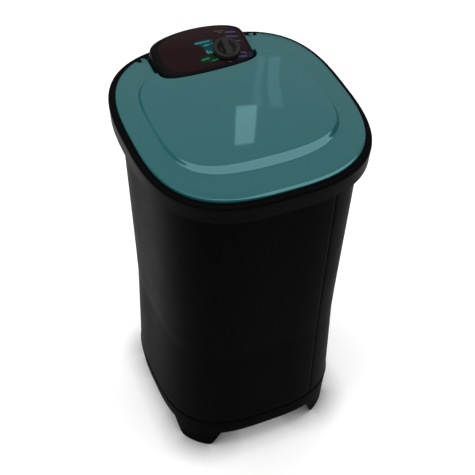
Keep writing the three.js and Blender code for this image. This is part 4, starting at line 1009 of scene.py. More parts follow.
agitator_plastic = finish("agitator_plastic", (0.06, 0.067, 0.07), 0.36, specular=0.45)
vary(agitator_plastic, "Base Color", 10, (0.055, 0.061, 0.064), (0.066, 0.073, 0.077))
vary(agitator_plastic, "Roughness", 25, 0.3, 0.42)
grain(agitator_plastic, 700, 0.0002, strength=0.2)
dress(smooth(agitator_form()), agitator_plastic, "agitator", ["agitator"])
cap_edge = (cap_radius, cap_low + cap_height * 0.45)
cap_high = cap_low + cap_height
cap = turned("agitator_cap_nut", [
    (0, cap_low),
    (cap_radius, cap_low),
    *arc(cap_edge, (cap_radius, cap_high), (cap_radius * 0.35, cap_high), 8),
    (0, cap_high),
], 64)
dress(smooth(cap), agitator_plastic, "agitator", ["agitator_cap"])

# Belt drive and motor
# A cast aluminium pulley on the foot of the shaft, a black rubber belt and a small pulley on the motor. The
# motor hangs from a steel bracket under the tub. These solids keep their CAD form.

aluminium = finish("cast_aluminium", (0.42, 0.43, 0.44), 0.45, metallic=1.0)
vary(aluminium, "Roughness", 60, 0.36, 0.58)
grain(aluminium, 400, 0.0003)
paint(aluminium, "driven_pulley", "motor_pulley", "motor_upper_cap", "motor_lower_cap")
paint(steel, "drive_shaft", "pulley_bolt", "motor_shaft", "motor_bracket", "capacitor_clip")
paint(steel, *[f"motor_bolt_{number}" for number in range(1, 5)])
paint(cast_metal, "motor_stator", "motor_rotor")
paint(rubber, "drive_belt")
paint(white_plastic, "capacitor")

# Drain and cord gland
# A grey plastic grille in the tub floor and a pipe from the sump to the hose tail behind. Black rubber rings
# seal the pipe and the cord opening in the rear shell.

pipe_radius = 0.014
pipe_bore = 0.011
pipe_steps = 30
pipe_lap = 0.018
pipe_top = dish_floor - tub_wall - sump_length + pipe_lap
pipe_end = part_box("drain_pipe")[1].y
bore_overrun = 0.004
outlet_reach = 0.034
barb_shares = (0.30, 0.52, 0.74)
barb_root = pipe_bore + 0.001
barb_start = pipe_radius - 0.0002
barb_crest = pipe_radius + 0.0009
barb_behind = 0.001
barb_profile = [
    (barb_root, -0.002), (barb_start, -0.002), (barb_crest, 0.001), (barb_crest, 0.0018), (barb_root, 0.0018),
]
ring_chamfer = 0.0006


def pipe_tube(radius, extra):
    """The drain pipe's route as a round bar: down from the sump, round a long bend and out behind."""
    down = Vector((sump_x, sump_y, outlet_height + (pipe_top - outlet_height) / 3))
    near_corner = Vector((sump_x, sump_y, outlet_height))
    far_corner = Vector((outlet_x, sump_y, outlet_height))
    straight = Vector((outlet_x, pipe_end - 2 * outlet_reach, outlet_height))
    route = [Vector((sump_x, sump_y, pipe_top + extra))]
    for step in range(pipe_steps + 1):
        share = step / pipe_steps
        left = 1 - share
        begins = left ** 3 * down + 3 * share * left ** 2 * near_corner
        route.append(begins + 3 * share * share * left * far_corner + share ** 3 * straight)
    route.append(Vector((outlet_x, pipe_end + extra, outlet_height)))
    side = Vector((1, 0, 0))
    rows = []
    for number, spot in enumerate(route):
        before, after = route[max(number - 1, 0)], route[min(number + 1, len(route) - 1)]
        way = (after - before).normalized()
        side = (side - way * side.dot(way)).normalized()
        up = way.cross(side)
        rows.append([spot + a * side + b * up for a, b in circle(radius, 48)])
    return skin("drain_tail", rows)


def wall_ring(name, node, x, z, bore, barrel, lip, lip_wall):
    """A rubber ring in the rear wall with a rounded outer lip, between the CAD ring's two faces."""
    low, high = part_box(node)
    outside = high.y - lip_wall
    rubber_ring = turned(name, [
        (bore, low.y),
        (barrel, low.y),
        (barrel, outside),
        *arc((lip, outside), (lip, high.y), (lip - lip_wall, high.y), 6),
        (bore + ring_chamfer, high.y),
        (bore, high.y - ring_chamfer),
    ], 64)
    rubber_ring = placed(rubber_ring, (x, 0, z), -math.pi / 2, "X")
    dress(smooth(rubber_ring), rubber, "cabinet", [node])


grey_plastic = finish("grey_plastic", (0.145, 0.153, 0.16), 0.45, specular=0.4)
vary(grey_plastic, "Base Color", 15, (0.135, 0.143, 0.15), (0.155, 0.165, 0.172))
grain(grey_plastic, 600, 0.0002, strength=0.25)
paint(grey_plastic, "drain_grille")
pipe = shape_with(pipe_tube(pipe_radius, 0), [pipe_tube(pipe_bore, bore_overrun)])
barbs = []
for share in barb_shares:
    y = pipe_end - outlet_reach * (1 - share) + barb_behind
    barbs.append(placed(turned("barb", barb_profile, 48), (outlet_x, y, outlet_height), math.pi / 2, "X"))
dress(smooth(joined("drain_tail", [pipe, *barbs])), grey_plastic, "cabinet", ["drain_pipe"])
wall_ring(
    "drain_seal", "drain_grommet", x=outlet_x, z=outlet_height,
    bore=sump_bore, barrel=0.019, lip=0.022, lip_wall=0.003,
)
wall_ring(
    "cord_seal", "cord_gland", x=gland_x, z=gland_height,
    bore=0.004, barrel=gland_radius, lip=0.011, lip_wall=0.0025,
)

# Rim
# A flared black moulding that clips over the cabinet: a tall band with a rounded top edge, a flat top that
# the lid rests on, a collar that hangs into the tub, the pocket for the timer, and two hinge lugs.

rim_draft = 0.0022
rim_round = 0.005
rim_lip_gap = 0.0008
rim_chamfer = 0.0003
rim_land = 0.0010
collar_depth = 0.027
mouth_round = 0.0022
pocket_half = 0.084
pocket_front = 0.121
pocket_rear = 0.184
pocket_wall = 0.003
pocket_outer_round = 0.010
pocket_inner_round = 0.007
under_top = 0.00005
hinge_y = 0.205
hinge_gap = 0.0005
knuckle_radius = 0.005
pin_radius = 0.0025
ear_inner = 0.111
ear_outer = 0.119
lug_width = 0.0055
lug_root = 0.001
lug_bore_length = 0.05
hinge_z = rim_top + hinge_gap + knuckle_radius
rim_under = rim_top - rim_wall
rim_outline = outline(0.4515, 0.489, 2.9)
housing_front = 0.1091
housing_depth = 0.1256
housing_side = -0.0052
housing_middle = housing_front + housing_depth / 2
housing_outline = outline(0.2025, housing_depth, 6.5, housing_middle, 0.0072, 0.0175, housing_side)


def band_ring(depth, height):
    draft = rim_draft * (rim_top - height) / (rim_top - band_bottom)
    return ring(rim_outline, draft + depth, height)


def quarter(radius, steps=6):
    """(inset, drop) pairs round a quarter circle, from an upright face to a level one."""
    turns = [math.pi / 2 * step / steps for step in range(steps + 1)]
    return [(radius * (1 - math.cos(turn)), radius * (1 - math.sin(turn))) for turn in turns]


def hinge_bar(name, radius, low, high):
    """A round bar on the hinge axis between two X."""
    return placed(rod(name, radius, low, high, steps=48), (0, hinge_y, hinge_z), math.pi / 2, "Y")


def hinge_lug(side):
    """A lug with a half-round top on the rim, bored for the pin."""
    start = ear_outer + hinge_gap
    low, high = sorted((side * start, side * (start + lug_width)))
    foot = rim_top - lug_root
    profile = [(hinge_y + y, hinge_z + z) for y, z in circle(knuckle_radius, 32)[:17]]
    profile += [(hinge_y - knuckle_radius, foot), (hinge_y + knuckle_radius, foot)]
    block = prism("lug", [(low, y, z) for y, z in profile], (high - low, 0, 0))
    return shape_with(block, [hinge_bar("bore", pin_radius + fit_gap, low - overrun, low + lug_bore_length)])


def rim_form():
    face = rim_top - rim_round - band_bottom
    band = skin("rim_band", [
        ring(top_outline, -rim_lip_gap, band_bottom),
        band_ring(rim_chamfer, band_bottom),
        band_ring(0, band_bottom + rim_chamfer),
        band_ring(0, band_bottom + rim_land),
        *[band_ring(0, band_bottom + share * face) for share in (0.2, 0.5, 0.8)],
        *[band_ring(inset, rim_top - drop) for inset, drop in quarter(rim_round)],
        *[ring(mouth_outline, -inset, rim_top - drop) for inset, drop in reversed(quarter(mouth_round))],
        *rings_on(mouth_outline, [(0, rim_top - collar_depth), (-rim_wall, rim_top - collar_depth)]),
        ring(mouth_outline, -rim_wall, rim_under),
        band_ring(rim_wall + rim_round * 0.5, rim_under),
        band_ring(rim_wall, rim_under - rim_round),
        band_ring(rim_wall, band_bottom + rim_wall),
        ring(top_outline, -rim_lip_gap, band_bottom + rim_wall),
    ], closed=True)
    mouth = skin("mouth", rings_on(mouth_outline, [(-rim_wall / 2, 0), (-rim_wall / 2, rim_top)]))
    deck = skin("deck", rings_on(housing_outline, [(-overrun, rim_under), (-overrun, rim_top - under_top)]))
    floor = rim_top - pocket_depth
    half = pocket_half + pocket_wall
    outer = rounded_rectangle(-half, pocket_front - pocket_wall, half, hinge_y, pocket_outer_round)
    inner = rounded_rectangle(-pocket_half, pocket_front, pocket_half, pocket_rear, pocket_inner_round)
    pocket = prism("pocket", [(x, y, floor) for x, y in outer], (0, 0, pocket_depth - 2 * under_top))
    hollow = prism("hollow", [(x, y, floor + pocket_wall) for x, y in inner], (0, 0, pocket_depth))
    pocket = shape_with(pocket, [deck], "UNION")
    pocket = shape_with(pocket, [mouth], "INTERSECT")
    pocket = shape_with(pocket, [hollow])
    return joined("rim_band", [band, pocket, hinge_lug(-1), hinge_lug(1)])


rim_plastic = finish("rim_plastic", (0.0013, 0.0013, 0.0014), 0.42, specular=0.018)
vary(rim_plastic, "Base Color", 9, (0.0011, 0.0011, 0.0012), (0.0016, 0.0016, 0.0017))
vary(rim_plastic, "Roughness", 14, 0.33, 0.43)
grain(rim_plastic, 900, 0.0002, strength=0.25)
dress(smooth(rim_form()), rim_plastic, "cabinet", ["top_rim"])

# Control housing
# A low black moulding screwed to the rim over the timer pocket. Its top slopes up towards the rear, has a
# shallow recess for the printed film, and one hole for the timer shaft.

panel_slope = math.tan(math.radians(10.6))
panel_front_height = 0.8186
housing_wall = 0.003
housing_chamfer = 0.0004
housing_foot = rim_top + fit_gap
housing_land = 0.0006
housing_shoulder = arc((0.0035, 0.006), (0.0056, 0.0003), (0.011, 0), 8)
hollow_shoulder = [(0.0065, 0.009), (0.011, 0.0045)]
film_wall = 0.0017
fascia_shift = 0.0015
fascia_middle = housing_middle + fascia_shift
fascia_outline = outline(0.174, 0.103, 5, fascia_middle, 0.0072, 0.017, -0.0024)
knob_x = 0.040
knob_y = 0.153
shaft_hole_radius = 0.004
under_film = 0.81
above_film = 0.85


def below_panel(drop):
    return lambda x, y: panel_front_height + panel_slope * (y - housing_front) - drop


def panel_rings(shape, profile):
    """Rings on one outline for a profile of (inset, drop below the sloping panel)."""
    return rings_on(shape, [(inset, below_panel(drop)) for inset, drop in profile])


def shaft_hole():
    return rod("hole", shaft_hole_radius, under_film, above_film, knob_x, knob_y, 48)


def housing_form():
    outside = skin("housing", [
        ring(housing_outline, housing_chamfer, housing_foot),
        ring(housing_outline, 0, housing_foot + housing_land),
        *panel_rings(housing_outline, housing_shoulder),
    ])
    inside = skin("hollow", [
        ring(housing_outline, housing_wall, rim_top - overrun),
        *panel_rings(housing_outline, hollow_shoulder),
    ])
    recess = panel_rings(fascia_outline, [(-fit_gap, film_wall + fit_gap), (-fit_gap, -overrun)])
    return shape_with(outside, [inside, skin("recess", recess), shaft_hole()])


housing_plastic = finish("housing_plastic", (0.0018, 0.0018, 0.0019), 0.3, specular=0.05)
vary(housing_plastic, "Base Color", 11, (0.0015, 0.0015, 0.0016), (0.0021, 0.0021, 0.0022))
vary(housing_plastic, "Roughness", 18, 0.26, 0.34)
grain(housing_plastic, 900, 0.0001, strength=0.15)
dress(smooth(housing_form()), housing_plastic, "cabinet", ["control_housing"])

# Control film and its print
# A dark glossy polyester film in the recess of the housing. Rounded patches, plain bars and dots are
# screen-printed on it in teal, green, violet and grey.

print_rise = 0.00008
film_edge = [(0, 0.0003), (0.0001, 0.0001), (0.0003, 0)]


def ink(name, colour):
    print_ink = finish(name, colour, 0.3, specular=0.06)
    lighter = tuple(min(value * 1.25, 1) for value in colour)
    vary(print_ink, "Base Color", 260, colour, lighter)
    return print_ink


def printed(name, shapes, colour, layer=1):
    """Flat printed shapes, each a list of (x, y) points, a hair proud of the film or of the layer below."""
    surface = below_panel((1.5 - layer) * print_rise)
    parts = [prism(name, [(x, y, surface(x, y)) for x, y in shape], (0, 0, print_rise)) for shape in shapes]
    dress(joined(name, parts), ink(name, colour), "cabinet")


def bar(x0, y0, x1, y1, width):
    """A straight printed bar between two points."""
    along = Vector((x1 - x0, y1 - y0)).normalized() * width / 2
    side = Vector((-along.y, along.x))
    start, end = Vector((x0, y0)), Vector((x1, y1))
    return [tuple(start - side), tuple(end - side), tuple(end + side), tuple(start + side)]


def dot(x, y, radius):
    return [(x + across, y + along) for across, along in circle(radius, 20)]


def soft_shape(corners, rounding):
    """A printed patch with rounded corners."""
    points = []
    for before, here, after in zip(corners[-1:] + corners[:-1], corners, corners[1:] + corners[:1]):
        start = [h + (b - h) * rounding for b, h in zip(before, here)]
        end = [h + (a - h) * rounding for a, h in zip(after, here)]
        points += arc(start, here, end, 4)
    return points


fascia_film = finish("fascia_film", (0.0095, 0.0030, 0.0042), 0.2, specular=0.05)
vary(fascia_film, "Base Color", 30, (0.0085, 0.0026, 0.0036), (0.0105, 0.0034, 0.0048))
vary(fascia_film, "Roughness", 40, 0.13, 0.2)
grain(fascia_film, 1400, 0.00005, strength=0.1)
film = skin("film", panel_rings(fascia_outline, [(0, film_wall), *film_edge]))
film = shape_with(film, [shaft_hole()])
dress(smooth(film), fascia_film, "cabinet", ["control_fascia"])

printed("print_teal", [
    soft_shape([
        (-0.0154, 0.1909), (0.0105, 0.1917), (0.0266, 0.1884), (0.0188, 0.1720),
        (0.0147, 0.1519), (-0.0010, 0.1557), (0.0003, 0.1660), (-0.0030, 0.1768),
    ], 0.25),
], (0.0006, 0.024, 0.029))
printed("print_green", [
    soft_shape([
        (-0.0194, 0.1432), (-0.0093, 0.1517), (0.0140, 0.1501),
        (0.0231, 0.1338), (0.0030, 0.1324), (-0.0168, 0.1366),
    ], 0.25),
], (0.0004, 0.0105, 0.0035))
printed("print_violet", [
    soft_shape([(0.0556, 0.2033), (0.0782, 0.2003), (0.0754, 0.1901), (0.0549, 0.1925)], 0.15),
    soft_shape([(0.0595, 0.1379), (0.0893, 0.1364), (0.0841, 0.1225), (0.0456, 0.1229)], 0.15),
], (0.006, 0.004, 0.014))
printed("print_pale_teal", [
    bar(-0.0134, 0.1864, 0.0173, 0.1859, 0.0030),
    bar(0.0017, 0.1769, 0.0138, 0.1775, 0.0034),
    bar(0.0022, 0.1634, 0.0048, 0.1549, 0.0040),
    bar(0.0083, 0.1615, 0.0108, 0.1550, 0.0036),
    dot(0.0187, 0.1776, 0.0015),
    dot(0.0146, 0.1607, 0.0015),
], (0.027, 0.135, 0.135), 2)
printed("print_bright_green", [
    bar(-0.0157, 0.1431, 0.0007, 0.1443, 0.0042),
    bar(0.0031, 0.1362, 0.0171, 0.1375, 0.0026),
], (0.009, 0.095, 0.032), 2)
printed("print_pale_violet", [
    bar(0.0551, 0.1984, 0.0753, 0.1938, 0.0026),
    bar(0.0537, 0.1879, 0.0759, 0.1810, 0.0024),
    bar(0.0647, 0.1412, 0.0753, 0.1360, 0.0026),
    bar(0.0567, 0.1314, 0.0732, 0.1274, 0.0026),
], (0.048, 0.042, 0.080), 2)
printed("print_pale_grey", [
    bar(0.0347, 0.2071, 0.0540, 0.2032, 0.0020),
    bar(0.0418, 0.2015, 0.0487, 0.1997, 0.0018),
    bar(0.0698, 0.1705, 0.0771, 0.1687, 0.0020),
    bar(0.0323, 0.1252, 0.0395, 0.1225, 0.0020),
], (0.050, 0.042, 0.042), 2)

# Timer
# A spring-wound timer of white plastic hangs under the housing's roof, and its steel shaft comes up through
# the film. Both keep their CAD form.

paint(white_plastic, "timer_body")
paint(steel, "timer_shaft")

# Timer knob
# A glossy charcoal knob with a low skirt and a tall grip bar, pushed on the timer's shaft. It turns to set
# the wash time, and it comes back by itself.

knob_tilt = math.radians(10.6)
knob_seat = Vector((knob_x, knob_y, 0.826815))
knob_skirt = 0.027
knob_lift = 0.0006
knob_foot = [(-0.0024, 0), (-0.0024, 0.0016), (-0.0004, 0.0018), (0, 0.0023)]
knob_side_top = 0.0104
knob_shoulder = arc((-0.0005, -0.0012), (-0.0006, 0), (-0.0018, 0.0001), 6)
knob_crown_inset = 0.0060
knob_crown_rise = 0.002
knob_under = -0.001
knob_scoop_floor = 0.0030
knob_scoop_reach = 0.0105
knob_bar_top = 0.0136
knob_bar_camber = 0.0004
knob_bar_half = 0.0058
knob_bar_slope = 0.0016
knob_bar_end = 0.0195
knob_end_reach = 0.0060
knob_rim_width = 0.0052
knob_pitch = 0.0012
knob_turn_at_rest = math.radians(85)
timer_shaft_radius = 0.003
socket_radius = timer_shaft_radius + fit_gap
socket_depth = 0.009


def knob_height(across, along):
    """The knob's top: a flat rim, a grip bar over the middle and a scoop on either side of the bar."""
    to_rim = knob_skirt - knob_rim_width - math.hypot(across, along)
    scoop = knob_side_top - (knob_side_top - knob_scoop_floor) * eased(to_rim / knob_scoop_reach)
    grip = knob_bar_top - knob_bar_camber * (abs(across) / knob_bar_half) ** 2
    grip += (knob_side_top - grip) * eased((abs(along) - knob_bar_end) / knob_end_reach)
    return grip + (scoop - grip) * eased((abs(across) - knob_bar_half) / knob_bar_slope)


def knob_form():
    above = knob_bar_top + knob_crown_rise
    side = turned("knob_side", [
        (0, knob_lift),
        *[(knob_skirt + out, knob_lift + rise) for out, rise in knob_foot],
        *[(knob_skirt + out, knob_side_top + rise) for out, rise in knob_shoulder],
        (knob_skirt - knob_crown_inset, above),
        (0, above),
    ], 128)
    lines = [knob_pitch * step for step in range(-24, 25)]
    near = [knob_bar_half + knob_bar_slope * step / 6 for step in range(-1, 8)]
    clear_from, clear_to = near[0] - knob_pitch / 2, near[-1] + knob_pitch / 2
    across_lines = [line for line in lines if not clear_from < abs(line) < clear_to]
    across_lines = sorted(across_lines + near + [-line for line in near])
    form = bmesh.new()
    top, under = [], []
    for across in across_lines:
        top.append([form.verts.new((across, along, knob_height(across, along))) for along in lines])
        under.append([form.verts.new((across, along, knob_under)) for along in lines])
    knob = shape_with(closed_sheet("knob", form, top, under), [side], "INTERSECT")
    knob = shape_with(knob, [rod("socket", socket_radius, -overrun, socket_depth, steps=48)])
    knob = placed(knob, (0, 0, 0), knob_turn_at_rest - math.pi / 2)
    return placed(knob, knob_seat, knob_tilt, "X")


knob_plastic = finish("knob_plastic", (0.0130, 0.0112, 0.0112), 0.35, specular=0.1)
vary(knob_plastic, "Base Color", 60, (0.0120, 0.0103, 0.0103), (0.0140, 0.0121, 0.0121))
vary(knob_plastic, "Roughness", 50, 0.25, 0.36)
grain(knob_plastic, 1200, 0.0001, strength=0.15)
dress(smooth(knob_form()), knob_plastic, "knob", ["timer_knob"])

# Lid
# A glossy teal lid, injection moulded in one piece. Its middle stands up as a rounded plateau with sloping
# sides, its rear is cut out round the control housing, and two ears carry it on the hinge pins.

lid_gap = 0.0005
lid_wall = 0.0025
lid_bottom = rim_top + lid_gap
lid_edge = [(0.0003, lid_bottom), (0, lid_bottom + 0.0004)]
lid_lip = arc((0, 0.8055), (0.0028, 0.8088), (0.0125, 0.80935), 12)
lid_outline = outline(0.426, 0.458, 2.91, -0.0021)
raised_outline = outline(0.348, 0.317, 3.5, 0.0014)
slope_width_front = 0.022
slope_width_side = 0.0065
front_reach = [math.radians(turn) for turn in (277, 72, 52)]
left_reach = [math.radians(turn) for turn in (180, 70, 60)]
lip_reach = [math.radians(turn) for turn in (285, 44, 36)]
lip_narrow = 0.12
ridge_inset = 0.0075
ridge_height = 0.82105
toe_height = 0.8114
toe_height_left = 0.8168
crown_height = 0.8239
crown_reach = 0.1465
crown_insets = (0.02, 0.035, 0.052, 0.07, 0.09, 0.11, 0.13)
hollow_edge = [(lid_wall, lid_bottom - overrun), (lid_wall, 0.80475), (lid_wall + 0.0015, 0.8065)]
hollow_crown = (0.077, 0.8214)
relief_margin = 0.001
relief_top = 0.8207
notch_gap = 0.0015
notch_half = 0.10275
notch_wall = 0.0025
notch_bottom = lid_bottom - 2 * overrun
above_lid = 0.86
lid_bore_half = 0.13
ear_web = [
    (0, 0.8045), (0, 0.812), (0.0030, 0.8116), (0.0060, 0.8107),
    (0.0100, 0.8096), (0.0150, 0.8090), (0.0150, 0.8045),
]


def side_share(angle, bearing, reach_before, reach_after):
    """One at `bearing` round the lid, eased down to zero over the reach before it and after it."""
    apart = (angle - bearing + math.pi) % (2 * math.pi) - math.pi
    return eased(1 - abs(apart) / (reach_after if apart > 0 else reach_before))


def lip_ring(inset, height):
    """A ring on the lid's edge round, which is widest near the right front corner."""
    points = []
    for turn in whole_turn(around_steps):
        width = lip_narrow + (1 - lip_narrow) * side_share(turn, *lip_reach)
        points.append(outline_point(lid_outline, inset * width, turn, height))
    return points


def plateau_ring(share, lower=0.0):
    """A ring on the plateau's slope: `share` of the way up it, or `lower` than that for the inside."""
    points = []
    for turn in whole_turn(around_steps):
        width = slope_width_side + (slope_width_front - slope_width_side) * side_share(turn, *front_reach)
        toe = toe_height + (toe_height_left - toe_height) * side_share(turn, *left_reach)
        height = toe + (ridge_height - toe) * eased(share)
        inset = ridge_inset - width * (1 - share)
        points.append(outline_point(raised_outline, inset, turn, height - lower))
    return points


def lid_rings():
    """From the lid's edge over the border, up the slope of the plateau and over its ridge to the middle."""
    border, toe = lip_ring(*lid_lip[-1]), plateau_ring(0)
    crown = []
    for inset in crown_insets:
        share = (inset - ridge_inset) / crown_reach
        crown.append((inset, ridge_height + (crown_height - ridge_height) * (1 - (1 - share) ** 2)))
    return [
        *rings_on(lid_outline, lid_edge),
        *[lip_ring(inset, height) for inset, height in lid_lip],
        *[through(border, toe, share) for share in (0.3, 0.65)],
        *[plateau_ring(step / 16) for step in range(17)],
        *rings_on(raised_outline, crown),
    ]


def notch_block(extra):
    """The space that the control housing needs in the lid, grown by `extra`."""
    inset = -notch_gap - extra
    pod = skin("notch", rings_on(housing_outline, [(inset, notch_bottom), (inset, above_lid)]))
    half = notch_half + extra
    low = (housing_side - half, housing_middle - extra, notch_bottom)
    return shape_with(pod, [box_piece("notch", low, (housing_side + half, beyond, above_lid))], "UNION")


def hinge_ear(side):
    """An eye round the hinge axis with a web that runs forward into the lid."""
    low, high = sorted((side * ear_inner, side * ear_outer))
    eye = [(low, hinge_y + y, hinge_z + z) for y, z in circle(knuckle_radius, 40)]
    web = [(low, hinge_y - ahead, z) for ahead, z in ear_web]
    reach = (high - low, 0, 0)
    return shape_with(prism("ear", eye, reach), [prism("web", web, reach)], "UNION")


def lid_form():
    outside = skin("lid_panel", lid_rings())
    trimmed = twin(outside)
    hollow = skin("hollow", [
        *rings_on(lid_outline, hollow_edge),
        *[plateau_ring(share, lid_wall) for share in (0, 0.4, 0.7, 1)],
        ring(raised_outline, *hollow_crown),
    ])
    shell = shape_with(outside, [hollow])
    notch_rim = shape_with(notch_block(notch_wall), [notch_block(0)])
    notch_rim = shape_with(notch_rim, [trimmed], "INTERSECT")
    lid = shape_with(shell, [notch_block(0)])
    lid = shape_with(lid, [notch_rim], "UNION")
    reliefs = []
    for side in (-1, 1):
        low, high = sorted((side * ear_outer, side * (ear_outer + lug_width + 2 * hinge_gap)))
        front = hinge_y - knuckle_radius - relief_margin
        reliefs.append(box_piece("relief", (low, front, rim_top), (high, hinge_y, relief_top)))
    reliefs.append(box_piece("relief", (-beyond, hinge_y, lid_bottom - overrun), (beyond, beyond, above_lid)))
    lid = shape_with(lid, reliefs)
    lid = shape_with(lid, [hinge_ear(side) for side in (-1, 1)], "UNION")
    return shape_with(lid, [hinge_bar("bore", pin_radius + fit_gap, -lid_bore_half, lid_bore_half)])


lid_plastic = finish("lid_plastic", (0.0055, 0.076, 0.082), 0.03, specular=0.33)
vary(lid_plastic, "Base Color", 5, (0.0050, 0.073, 0.079), (0.0060, 0.079, 0.085))
vary(lid_plastic, "Roughness", 22, 0.024, 0.036)
grain(lid_plastic, 60, 0.00002, strength=0.05)
lid = dress(smooth(lid_form(), 40), lid_plastic, "lid", ["lid"])

# Hinge pins
# Two short pins of blackened steel join the lid's ears to the lugs of the rim.

pin_chamfer = 0.0005
pin_steel = finish("blackened_steel", (0.010, 0.010, 0.010), 0.5, specular=0.15)
vary(pin_steel, "Roughness", 90, 0.42, 0.6)
grain(pin_steel, 500, 0.0001, strength=0.2)
for name in ("hinge_pin_left", "hinge_pin_right"):
    low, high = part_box(name)
    length = high.x - low.x
    pin = turned(f"{name}_turned", [
        (0, 0),
        (pin_radius - pin_chamfer, 0),
        (pin_radius, pin_chamfer),
        (pin_radius, length - pin_chamfer),
        (pin_radius - pin_chamfer, length),
        (0, length),
    ], 48)
    pin = placed(pin, (low.x, hinge_y, hinge_z), math.pi / 2, "Y")
    dress(smooth(pin), pin_steel, "cabinet", [name])

# Floor, backdrop light, lamps and camera
# A pale floor under the machine, with a painted contact shadow where it meets the machine, a white surround,
# one broad lamp from above and two at the sides. Four more lamps show only as mirror images in the lid: a
# window, two streaks beside it and a light in front.

floor_half = 8
floor_thickness = 0.02
# How far the floor's painted contact shadow reaches from the machine, and how steeply it deepens.
painted_shade_reach = 0.07
painted_shade_power = 1.4
floor_glow = 0.28
daylight = (0.50, 0.96, 1.03)
machine_middle = (0, 0, 0.5)
camera_place = (-0.64766, -1.45299, 2.12519)
camera_right = Vector((0.91993, -0.39160, 0.01954))
camera_up = Vector((0.27071, 0.67040, 0.69086))
camera_forward = Vector((0.28364, 0.63025, -0.72272))


def worked_out(tree, operation, first, second):
    """One value from two, each of them a number or the output of another node."""
    node = tree.nodes.new("ShaderNodeMath")
    node.operation = operation
    for socket, value in zip(node.inputs, (first, second)):
        if isinstance(value, float):
            socket.default_value = value
        else:
            tree.links.new(value, socket)
    return node.outputs[0]


floor = box_piece("floor", (-floor_half, -floor_half, -floor_thickness), (floor_half, floor_half, 0))
floor_material = finish("floor", (0.92, 0.92, 0.92), 0.9, specular=0.0)
tree = floor_material.node_tree
shader = tree.nodes["Principled BSDF"]
# An ambient-occlusion mask darkens the floor's colour and its camera glow near the machine: a painted contact
# shadow.
painted_shade_occlusion = tree.nodes.new("ShaderNodeAmbientOcclusion")
painted_shade_occlusion.inputs["Distance"].default_value = painted_shade_reach
painted_shade_occlusion.samples = 8
painted_shade_openness = worked_out(tree, "POWER", painted_shade_occlusion.outputs["AO"], painted_shade_power)
floor_colour_with_painted_shade = colour_between(tree, painted_shade_openness, (0, 0, 0), (0.92, 0.92, 0.92))
tree.links.new(floor_colour_with_painted_shade, shader.inputs["Base Color"])
tree.links.new(floor_colour_with_painted_shade, shader.inputs["Emission Color"])
path = tree.nodes.new("ShaderNodeLightPath")
glow = worked_out(tree, "MULTIPLY", path.outputs["Is Camera Ray"], floor_glow)
tree.links.new(glow, shader.inputs["Emission Strength"])
floor.data.materials.append(floor_material)

world = bpy.data.worlds.new("surround")
bpy.context.scene.world = world
world.use_nodes = True
tree = world.node_tree
background = tree.nodes["Background"]
background.inputs["Color"].default_value = (1, 1, 1, 1)
path = tree.nodes.new("ShaderNodeLightPath")
is_seen = worked_out(tree, "MAXIMUM", path.outputs["Is Camera Ray"], path.outputs["Is Glossy Ray"])
is_seen = worked_out(tree, "MAXIMUM", is_seen, path.outputs["Is Transmission Ray"])
level = value_between(tree, is_seen, 0.6, 1.0)
way = tree.nodes.new("ShaderNodeTexCoord")
parts = tree.nodes.new("ShaderNodeSeparateXYZ")
tree.links.new(way.outputs["Generated"], parts.inputs["Vector"])
sky = value_between(tree, parts.outputs["Z"], 0.06, 1.0)
sky.node.interpolation_type = "SMOOTHSTEP"
sky.node.inputs["From Min"].default_value = -0.05
sky.node.inputs["From Max"].default_value = 0.66
dimmed = tree.nodes.new("ShaderNodeMix")
dimmed.inputs["A"].default_value = 1.0
tree.links.new(path.outputs["Is Glossy Ray"], dimmed.inputs["Factor"])
tree.links.new(sky, dimmed.inputs["B"])
strength = worked_out(tree, "MULTIPLY", level, dimmed.outputs["Result"])
tree.links.new(strength, background.inputs["Strength"])


def lamp(name, place, target, size, power):
    light = bpy.data.lights.new(name, "AREA")
    light.shape = "RECTANGLE"
    light.size, light.size_y = size
    light.energy = power
    holder = in_scene(name, light)
    holder.location = place
    holder.rotation_euler = (Vector(target) - Vector(place)).to_track_quat("-Z", "Y").to_euler()
    return holder


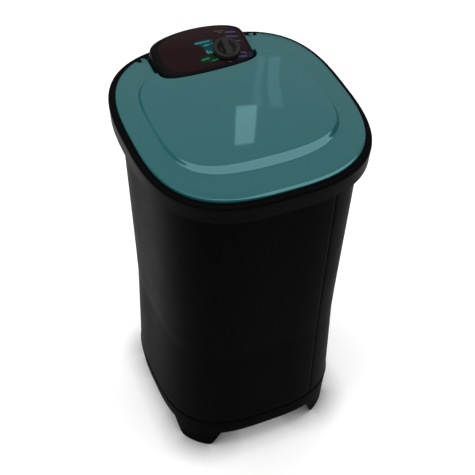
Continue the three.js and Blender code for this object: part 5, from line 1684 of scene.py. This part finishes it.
def turned_to(right, up, back):
    """The turn whose own axes point along three directions."""
    return Matrix((right, up, back)).transposed()


for name, place, target, size, power in (
    ("overhead", (0, 0.2, 3.0), (0, 0, 0.8), (2.0, 2.0), 44),
    ("left", (-3.0, -0.6, 1.6), machine_middle, (1.8, 1.8), 30),
    ("right", (3.0, -0.2, 1.2), machine_middle, (1.2, 1.8), 18),
):
    lamp(name, place, target, size, power).visible_glossy = False

glossy_lid = bpy.data.collections.new("glossy_lid")
glossy_lid.objects.link(lid)


def reflection(name, place, target, across, size, radiance):
    """A lamp that only shows as a mirror image in the lid, with one side along `across`."""
    away = (Vector(place) - Vector(target)).normalized()
    sideways = Vector(across)
    sideways = (sideways - away * sideways.dot(away)).normalized()
    light = lamp(name, place, target, size, radiance * math.pi * size[0] * size[1])
    light.rotation_euler = turned_to(sideways, away.cross(sideways), away).to_euler()
    light.data.color = daylight
    light.visible_diffuse = False
    light.data.use_shadow = False
    light.light_linking.receiver_collection = glossy_lid


reflection(
    "window", place=(0.936, 1.956, 2.832), target=(-0.02, -0.05, 0.823),
    across=(0.931, -0.356, -0.08), size=(0.101, 0.321), radiance=3.1,
)
reflection(
    "streak_near", place=(1.100, 2.212, 2.620), target=(0.05, 0.08, 0.823),
    across=(0.900, -0.435, 0.006), size=(0.051, 0.426), radiance=0.50,
)
reflection(
    "streak_far", place=(1.197, 2.170, 2.617), target=(0.08, 0.07, 0.823),
    across=(0.912, -0.403, -0.08), size=(0.082, 0.402), radiance=0.70,
)
reflection(
    "front_light", place=(0.0, -2.95, 2.03), target=(0.0, -2.95, 0.0),
    across=(0.98, -0.2, 0), size=(6.12, 6.0), radiance=5.2,
)

camera = bpy.data.cameras.new("camera")
camera.lens = 83.2
camera.sensor_width = 36
camera.clip_end = 50
holder = in_scene("camera", camera)
turn = turned_to(camera_right, camera_up, -camera_forward)
holder.matrix_world = Matrix.Translation(camera_place) @ turn.to_4x4()
bpy.context.scene.camera = holder

view = bpy.context.scene.view_settings
view.view_transform = "Standard"
